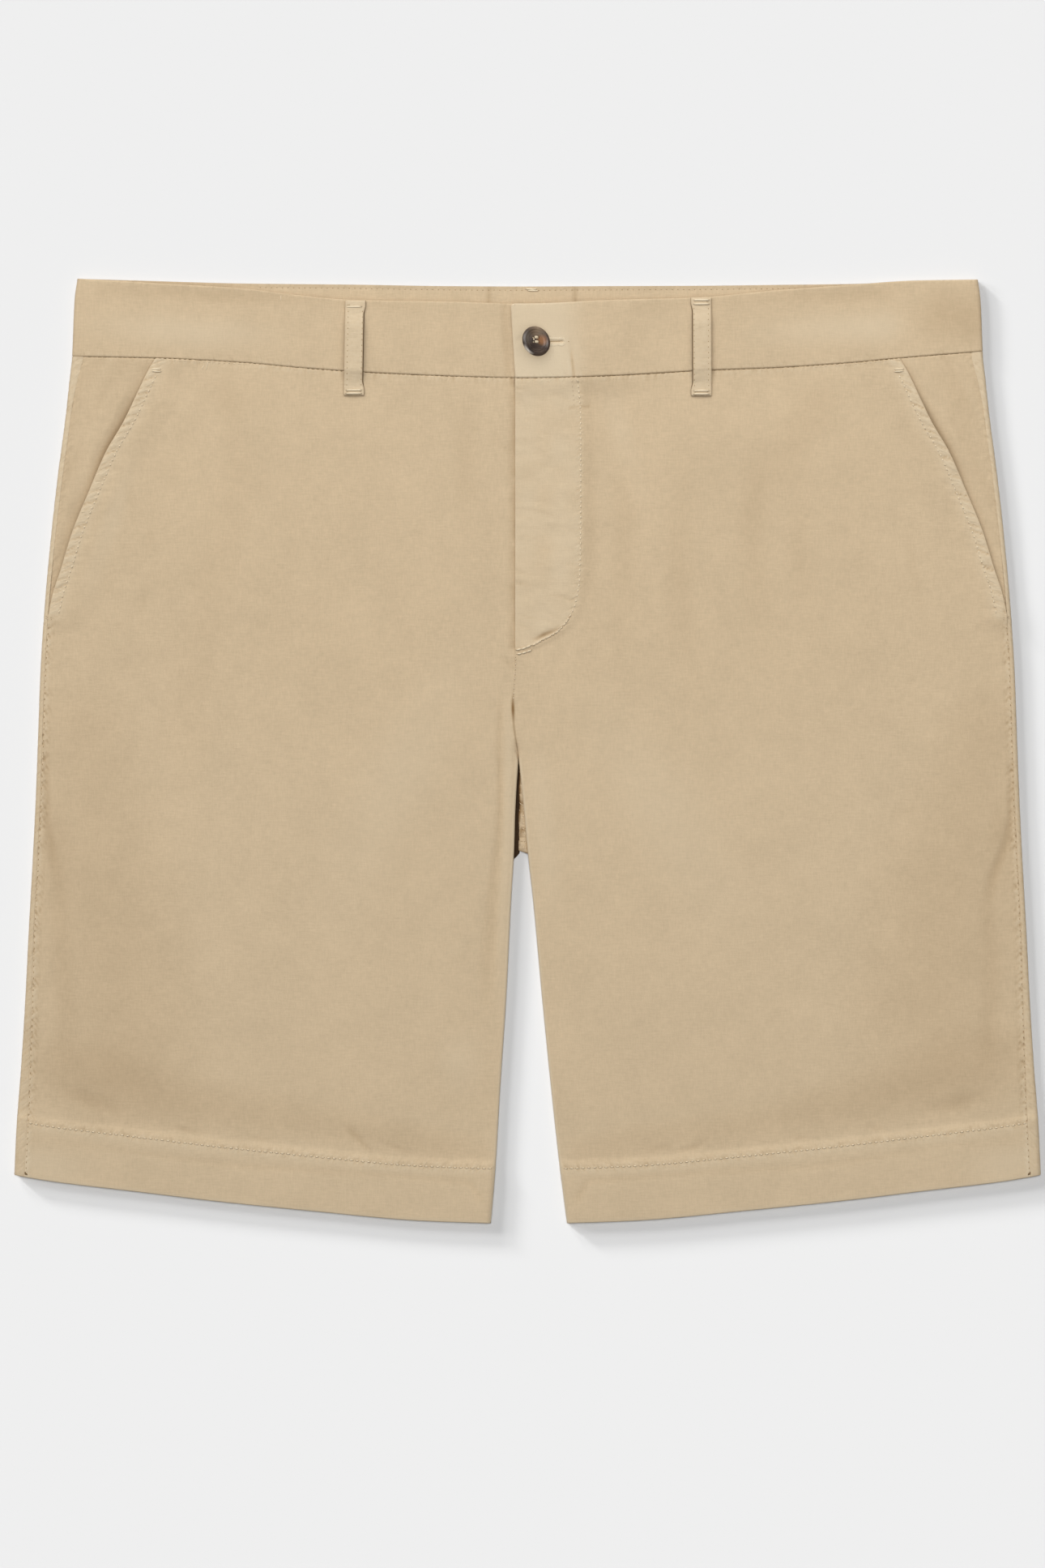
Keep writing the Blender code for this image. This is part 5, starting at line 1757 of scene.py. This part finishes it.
# Painted shade in the buttonhole's slit, and a small speck beyond its eye.
slit_specks = bars(
    *[(x, HOLE_Y, x + 1.7, HOLE_Y) for x in np.arange(HOLE_START, HOLE_END - 1.0, 1.4)],
    (22.4, HOLE_Y, 23.2, HOLE_Y))
sew("buttonhole_slit", slit_specks, [cloth["band", LEFT]], Stitch(0.5, 0.12, 0.0), shade_speck)

# %% [markdown]
# ## The button
# It is cut from horn: a thick disc with a rounded rim, a shallow dish and four holes. A cylinder's caps are
# inset ring by ring and each ring is raised or sunk. Subdivision rounds them, the holes are cut through and
# a bevel softens their edges. It sits askew on its thread, which is why it is tilted only once it is whole.

# %% Turn the button
BUTTON_RADIUS = 8.65
BUTTON_EDGE = 2.0
BLANK_DEPTH = 0.7
BUTTON_X = 4.0
BUTTON_Y = 226.8
BUTTON_TILT = math.radians(32.0)
BUTTON_SLACK = 0.9
BUTTON_TILT_FACING = math.radians(28.0)
HOLE_RADIUS = 0.8
HOLE_PLACES = [(-1.55, -0.45), (1.55, -0.45), (-1.55, 2.15), (1.55, 2.15)]
BUTTON_TOP = [
    (0.25, 0.55), (0.55, 0.35), (0.7, 0.1), (0.5, -0.12), (0.35, -0.4),
    (0.45, -0.12), (0.3, 0.1), (0.5, -0.45), (0.8, -0.12), (2.4, 0.01),
]
BUTTON_UNDER = [(0.3, 0.35), (0.8, 0.45), (2, 0.45), (3, 0.05)]


def cap_face(mesh, upwards):
    """Selects the flat cap that faces up or down."""
    bpy.ops.object.mode_set(mode="OBJECT")
    for face in mesh.polygons:
        face.select = face.normal.z * upwards > 0.99 and len(face.vertices) > 8
    bpy.ops.object.mode_set(mode="EDIT")


def sink_rings(mesh, insets, upwards):
    """Each ring is a width by which the cap is inset, and how far it is then raised."""
    for width, rise in insets:
        cap_face(mesh, upwards)
        bpy.ops.mesh.inset(thickness=width * MM, depth=0.0)
        bpy.ops.transform.translate(value=(0.0, 0.0, rise * MM * upwards))
    bpy.ops.object.mode_set(mode="OBJECT")


clear_selection()
bpy.ops.mesh.primitive_cylinder_add(
    vertices=64, radius=BUTTON_RADIUS * MM, depth=BLANK_DEPTH * MM,
    location=(0.0, 0.0, (BUTTON_EDGE - BLANK_DEPTH / 2) * MM))
button = bpy.context.active_object
button.name = "horn_button"
bpy.ops.object.transform_apply(location=True, rotation=True, scale=True)
bpy.ops.object.mode_set(mode="EDIT")
bpy.ops.mesh.select_mode(type="FACE")
sink_rings(button.data, BUTTON_TOP, 1)
bpy.ops.object.mode_set(mode="EDIT")
sink_rings(button.data, BUTTON_UNDER, -1)
apply_modifier(button, "SUBSURF", levels=2, render_levels=2)
print("button:", len(button.data.polygons), "faces,",
      [round(value / MM, 2) for value in button.dimensions], "mm")

# %% Drill it
for hole_x, hole_y in HOLE_PLACES:
    clear_selection()
    bpy.ops.mesh.primitive_cylinder_add(
        vertices=24, radius=HOLE_RADIUS * MM, depth=12 * MM, location=(hole_x * MM, hole_y * MM, 0.0))
    drill = bpy.context.active_object
    clear_selection()
    bpy.context.view_layer.objects.active = button
    apply_modifier(button, "BOOLEAN", operation="DIFFERENCE", object=drill)
    bpy.data.objects.remove(drill)
apply_modifier(
    button, "BEVEL", width=0.14 * MM, segments=2, limit_method="ANGLE", angle_limit=math.radians(50.0))
button.select_set(True)
bpy.ops.object.shade_smooth_by_angle(angle=math.radians(40.0))

# %% [markdown]
# Horn is layered: brown and near-black bands, a warm patch where light comes through, and a fine grain
# that runs round the turned surface. It is polished, so it takes a soft gloss on the rim. Its top and
# left are painted lighter where light falls on them, and a painted highlight runs along the lower left
# of the rim.

# %% Horn
def make_horn():
    """The horn's pattern is drawn in the button's own frame, where the rim is at 1."""
    material, tree, shader = new_material("polished_horn", 0.34, 0.0)
    shader.inputs["Specular IOR Level"].default_value = 0.4
    shader.inputs["Coat Weight"].default_value = 0.2
    shader.inputs["Coat Roughness"].default_value = 0.12
    turned = add_node(tree, "ShaderNodeAttribute", attribute_name="turned").outputs["Vector"]

    def spot(place, reach):
        """1 at a place on the button, fading to 0 at its reach."""
        shifted = stretched(tree, turned, (1.0, 1.0, 0.0))
        shifted.node.inputs["Location"].default_value = (-place[0], -place[1], 0.0)
        length = add_node(tree, "ShaderNodeVectorMath", operation="LENGTH")
        tree.links.new(shifted, length.inputs[0])
        return clamped(maths(tree, "SUBTRACT", 1.0, maths(tree, "DIVIDE", length.outputs["Value"], reach)))

    layers = noise(tree, stretched(tree, turned, (1.2, 3.4, 1.2)), 1.0, 4.0, 0.6)
    layers = clamped(maths(tree, "ADD", centred(tree, layers, 0.5, 2.0), 0.4))
    colour = mixed(tree, layers, (0.018, 0.010, 0.008), (0.085, 0.055, 0.038))
    # Painted light on the top and the left of the face, and a painted highlight along the lower left of the
    # rim.
    painted_top_light = maths(tree, "MULTIPLY", spot((0.1, 0.8), 0.8), 1.2)
    colour = mixed(tree, painted_top_light, colour, (0.22, 0.155, 0.10))
    painted_left_light = spot((-0.7, 0.2), 0.55)
    colour = mixed(tree, painted_left_light, colour, (0.13, 0.105, 0.085))
    warm = clamped(maths(tree, "MULTIPLY", spot((0.42, 0.1), 0.42), 1.6))
    colour = mixed(tree, warm, colour, (0.26, 0.12, 0.05))
    middle = spot((0.0, 0.0), 1.04)
    painted_rim_highlight = maths(tree, "MULTIPLY", spot((-0.72, -0.72), 0.5), maths(tree, "SUBTRACT", 0.14, middle))
    painted_rim_highlight = clamped(maths(tree, "MULTIPLY", painted_rim_highlight, 16.0))
    colour = mixed(tree, painted_rim_highlight, colour, (0.62, 0.56, 0.48))
    tree.links.new(colour, shader.inputs["Base Color"])
    grain = noise(tree, stretched(tree, turned, (2.0, 14.0, 2.0)), 1.0, 3.0, 0.6)
    tree.links.new(bumped(tree, grain, 0.00008, 0.4), shader.inputs["Normal"])
    return material


horn = make_horn()

# %% Tilt the button and sew it on
turned_at = button.data.attributes.new("turned", "FLOAT_VECTOR", "POINT")
for vertex, record in zip(button.data.vertices, turned_at.data):
    record.vector = vertex.co / (BUTTON_RADIUS * MM)
base = band_height(LEFT, BUTTON_X) + 0.1 + BUTTON_RADIUS * math.sin(BUTTON_TILT) - BUTTON_SLACK
button.location = (BUTTON_X * MM, BUTTON_Y * MM, base * MM)
button.rotation_mode = "AXIS_ANGLE"
button.rotation_axis_angle = (
    BUTTON_TILT, -math.sin(BUTTON_TILT_FACING), math.cos(BUTTON_TILT_FACING), 0.0)
clear_selection()
button.select_set(True)
bpy.context.view_layer.objects.active = button
bpy.ops.object.transform_apply(location=True, rotation=True, scale=True)
attach(button, horn, "button")

facing_x = math.cos(BUTTON_TILT_FACING)
facing_y = math.sin(BUTTON_TILT_FACING)
slope = math.sin(BUTTON_TILT)
button_up = np.array([facing_x * slope, facing_y * slope, math.cos(BUTTON_TILT)])
button_middle = np.array([BUTTON_X, BUTTON_Y, base])


def on_button(across, along, height):
    """A point in the button's own frame, brought to where the button sits."""
    lean = across * facing_x + along * facing_y
    flat = np.array([across, along, 0.0]) - lean * np.array([facing_x, facing_y, 0.0])
    down_slope = np.array([facing_x * button_up[2], facing_y * button_up[2], -math.sin(BUTTON_TILT)])
    return button_middle + flat + lean * down_slope + height * button_up


DISH = 2.15
strands = []
for bar_y in sorted({hole_y for _, hole_y in HOLE_PLACES}):
    for shift, height in ((-0.34, 0.0), (0.34, 0.0), (0.0, 0.35)):
        start = on_button(-1.2, bar_y + shift, DISH + height)
        end = on_button(1.2, bar_y + shift, DISH + height)
        strands.append((start, end, button_up, Stitch(0.95, 1.1, 0.0)))
strands.append((on_button(-1.7, 0.2, DISH), on_button(-1.6, 1.5, DISH), button_up, Stitch(0.7, 0.8, 0.0)))
for hole_x, hole_y in HOLE_PLACES:
    top = on_button(hole_x * 0.9, hole_y, 1.4)
    foot = np.array([BUTTON_X + hole_x * 0.7, BUTTON_Y + hole_y * 0.7, BAND_TOP + BAND_WALL - 0.4])
    strands.append((foot, top, np.array([1.0, 0.0, 0.0]), Stitch(0.9, 0.9, 0.0)))
button_thread = bead_mesh("button_thread", strands, pale_thread)

# %% [markdown]
# ## Floor, light and camera
# The shorts lie on a pale, matt table. The table and the cloth have lights of their own: low suns from the
# upper left and one from above draw the soft shadow on the table, and a broad sun, a lower one and a window
# draw the folds of the cloth. The button and its thread cast no shadow: in light this soft hardly any
# would show, and the lower suns would make it a hard mark.

# %% Floor
FLOOR_SIZE = 12.0
FLOOR_DROP = 0.2
clear_selection()
bpy.ops.mesh.primitive_plane_add(size=FLOOR_SIZE, location=(0.0, 0.0, -FLOOR_DROP * MM))
floor = bpy.context.active_object
floor.name = "floor"
paper, _, paper_shader = new_material("pale_table", 0.9, 0.0)
paper_shader.inputs["Base Color"].default_value = (0.5, 0.5, 0.5, 1.0)
paper_shader.inputs["Specular IOR Level"].default_value = 0.0
floor.data.materials.append(paper)
floor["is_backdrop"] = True


# %% Lights
def add_sun(name, heading, rise, angle, strength):
    """A distant light from that heading and height above the table, softened by its angle."""
    light = bpy.data.lights.new(name, "SUN")
    light.energy = strength
    light.angle = math.radians(angle)
    lamp = placed(name, light)
    flat = math.cos(math.radians(rise))
    towards = (
        math.cos(math.radians(heading)) * flat, math.sin(math.radians(heading)) * flat,
        math.sin(math.radians(rise)))
    lamp.rotation_mode = "QUATERNION"
    lamp.rotation_quaternion = Vector(towards).to_track_quat("Z", "Y")
    return lamp


def light_only(lamps, state):
    """Lights the table alone (INCLUDE) or all but the table (EXCLUDE)."""
    group = bpy.data.collections.new("table_" + state.lower())
    group.objects.link(floor)
    group.collection_objects[0].light_linking.link_state = state
    for lamp in lamps:
        lamp.light_linking.receiver_collection = group


table_lows = [
    add_sun("table_near", 140.0, 27.0, 14.0, 1.37), add_sun("table_high", 122.0, 18.0, 10.0, 1.17),
    add_sun("table_left", 158.0, 18.0, 10.0, 1.17), add_sun("table_far", 138.0, 13.5, 8.0, 3.24),
]
table_top = add_sun("table_top", 90.0, 86.0, 24.0, 3.11)
cloth_top = add_sun("cloth_top", 100.0, 84.0, 96.0, 1.66)
cloth_side = add_sun("cloth_side", 128.0, 34.0, 46.0, 0.85)
WINDOW_PLACE = (0.0, 1.05, 1.0)
WINDOW_SIZE = (2.4, 0.7)
WINDOW_POWER = 11.2
window = bpy.data.lights.new("window", "AREA")
window.shape = "RECTANGLE"
window.size, window.size_y = WINDOW_SIZE
window.energy = WINDOW_POWER
window_lamp = placed("window", window)
window_lamp.location = WINDOW_PLACE
window_lamp.rotation_mode = "QUATERNION"
window_lamp.rotation_quaternion = Vector(WINDOW_PLACE).to_track_quat("Z", "Y")
window_lamp.visible_camera = False
light_only([*table_lows, table_top], "INCLUDE")
light_only([cloth_top, cloth_side, window_lamp], "EXCLUDE")
for piece in (button, button_thread):
    piece.visible_shadow = False
ROOM = 0.07
world = bpy.data.worlds.new("room")
world.use_nodes = True
world.node_tree.nodes["Background"].inputs["Color"].default_value = (1.0, 1.0, 1.0, 1.0)
world.node_tree.nodes["Background"].inputs["Strength"].default_value = ROOM
bpy.context.scene.world = world

# %% Camera
FRAME_HEIGHT = 0.87075
FRAME_CENTRE = (-0.0028, -0.0182)
CAMERA_HEIGHT = 6.0
SENSOR = 36.0
camera_data = bpy.data.cameras.new("camera")
camera_data.sensor_width = SENSOR
camera_data.lens = SENSOR * CAMERA_HEIGHT / FRAME_HEIGHT
camera_data.clip_end = 100.0
camera = placed("camera", camera_data)
camera.location = (*FRAME_CENTRE, CAMERA_HEIGHT)
bpy.context.scene.camera = camera
bpy.context.scene.view_settings.view_transform = "Standard"

# %% The boxes of the solids and of the dressed model
visual_low, visual_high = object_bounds()
boxes = {
    "cad": [list(cad_low), list(cad_high)],
    "visual": [list(visual_low), list(visual_high)],
}
for name, (low, high) in boxes.items():
    print(name, "box in mm:", [round((b - a) / MM, 1) for a, b in zip(low, high)])
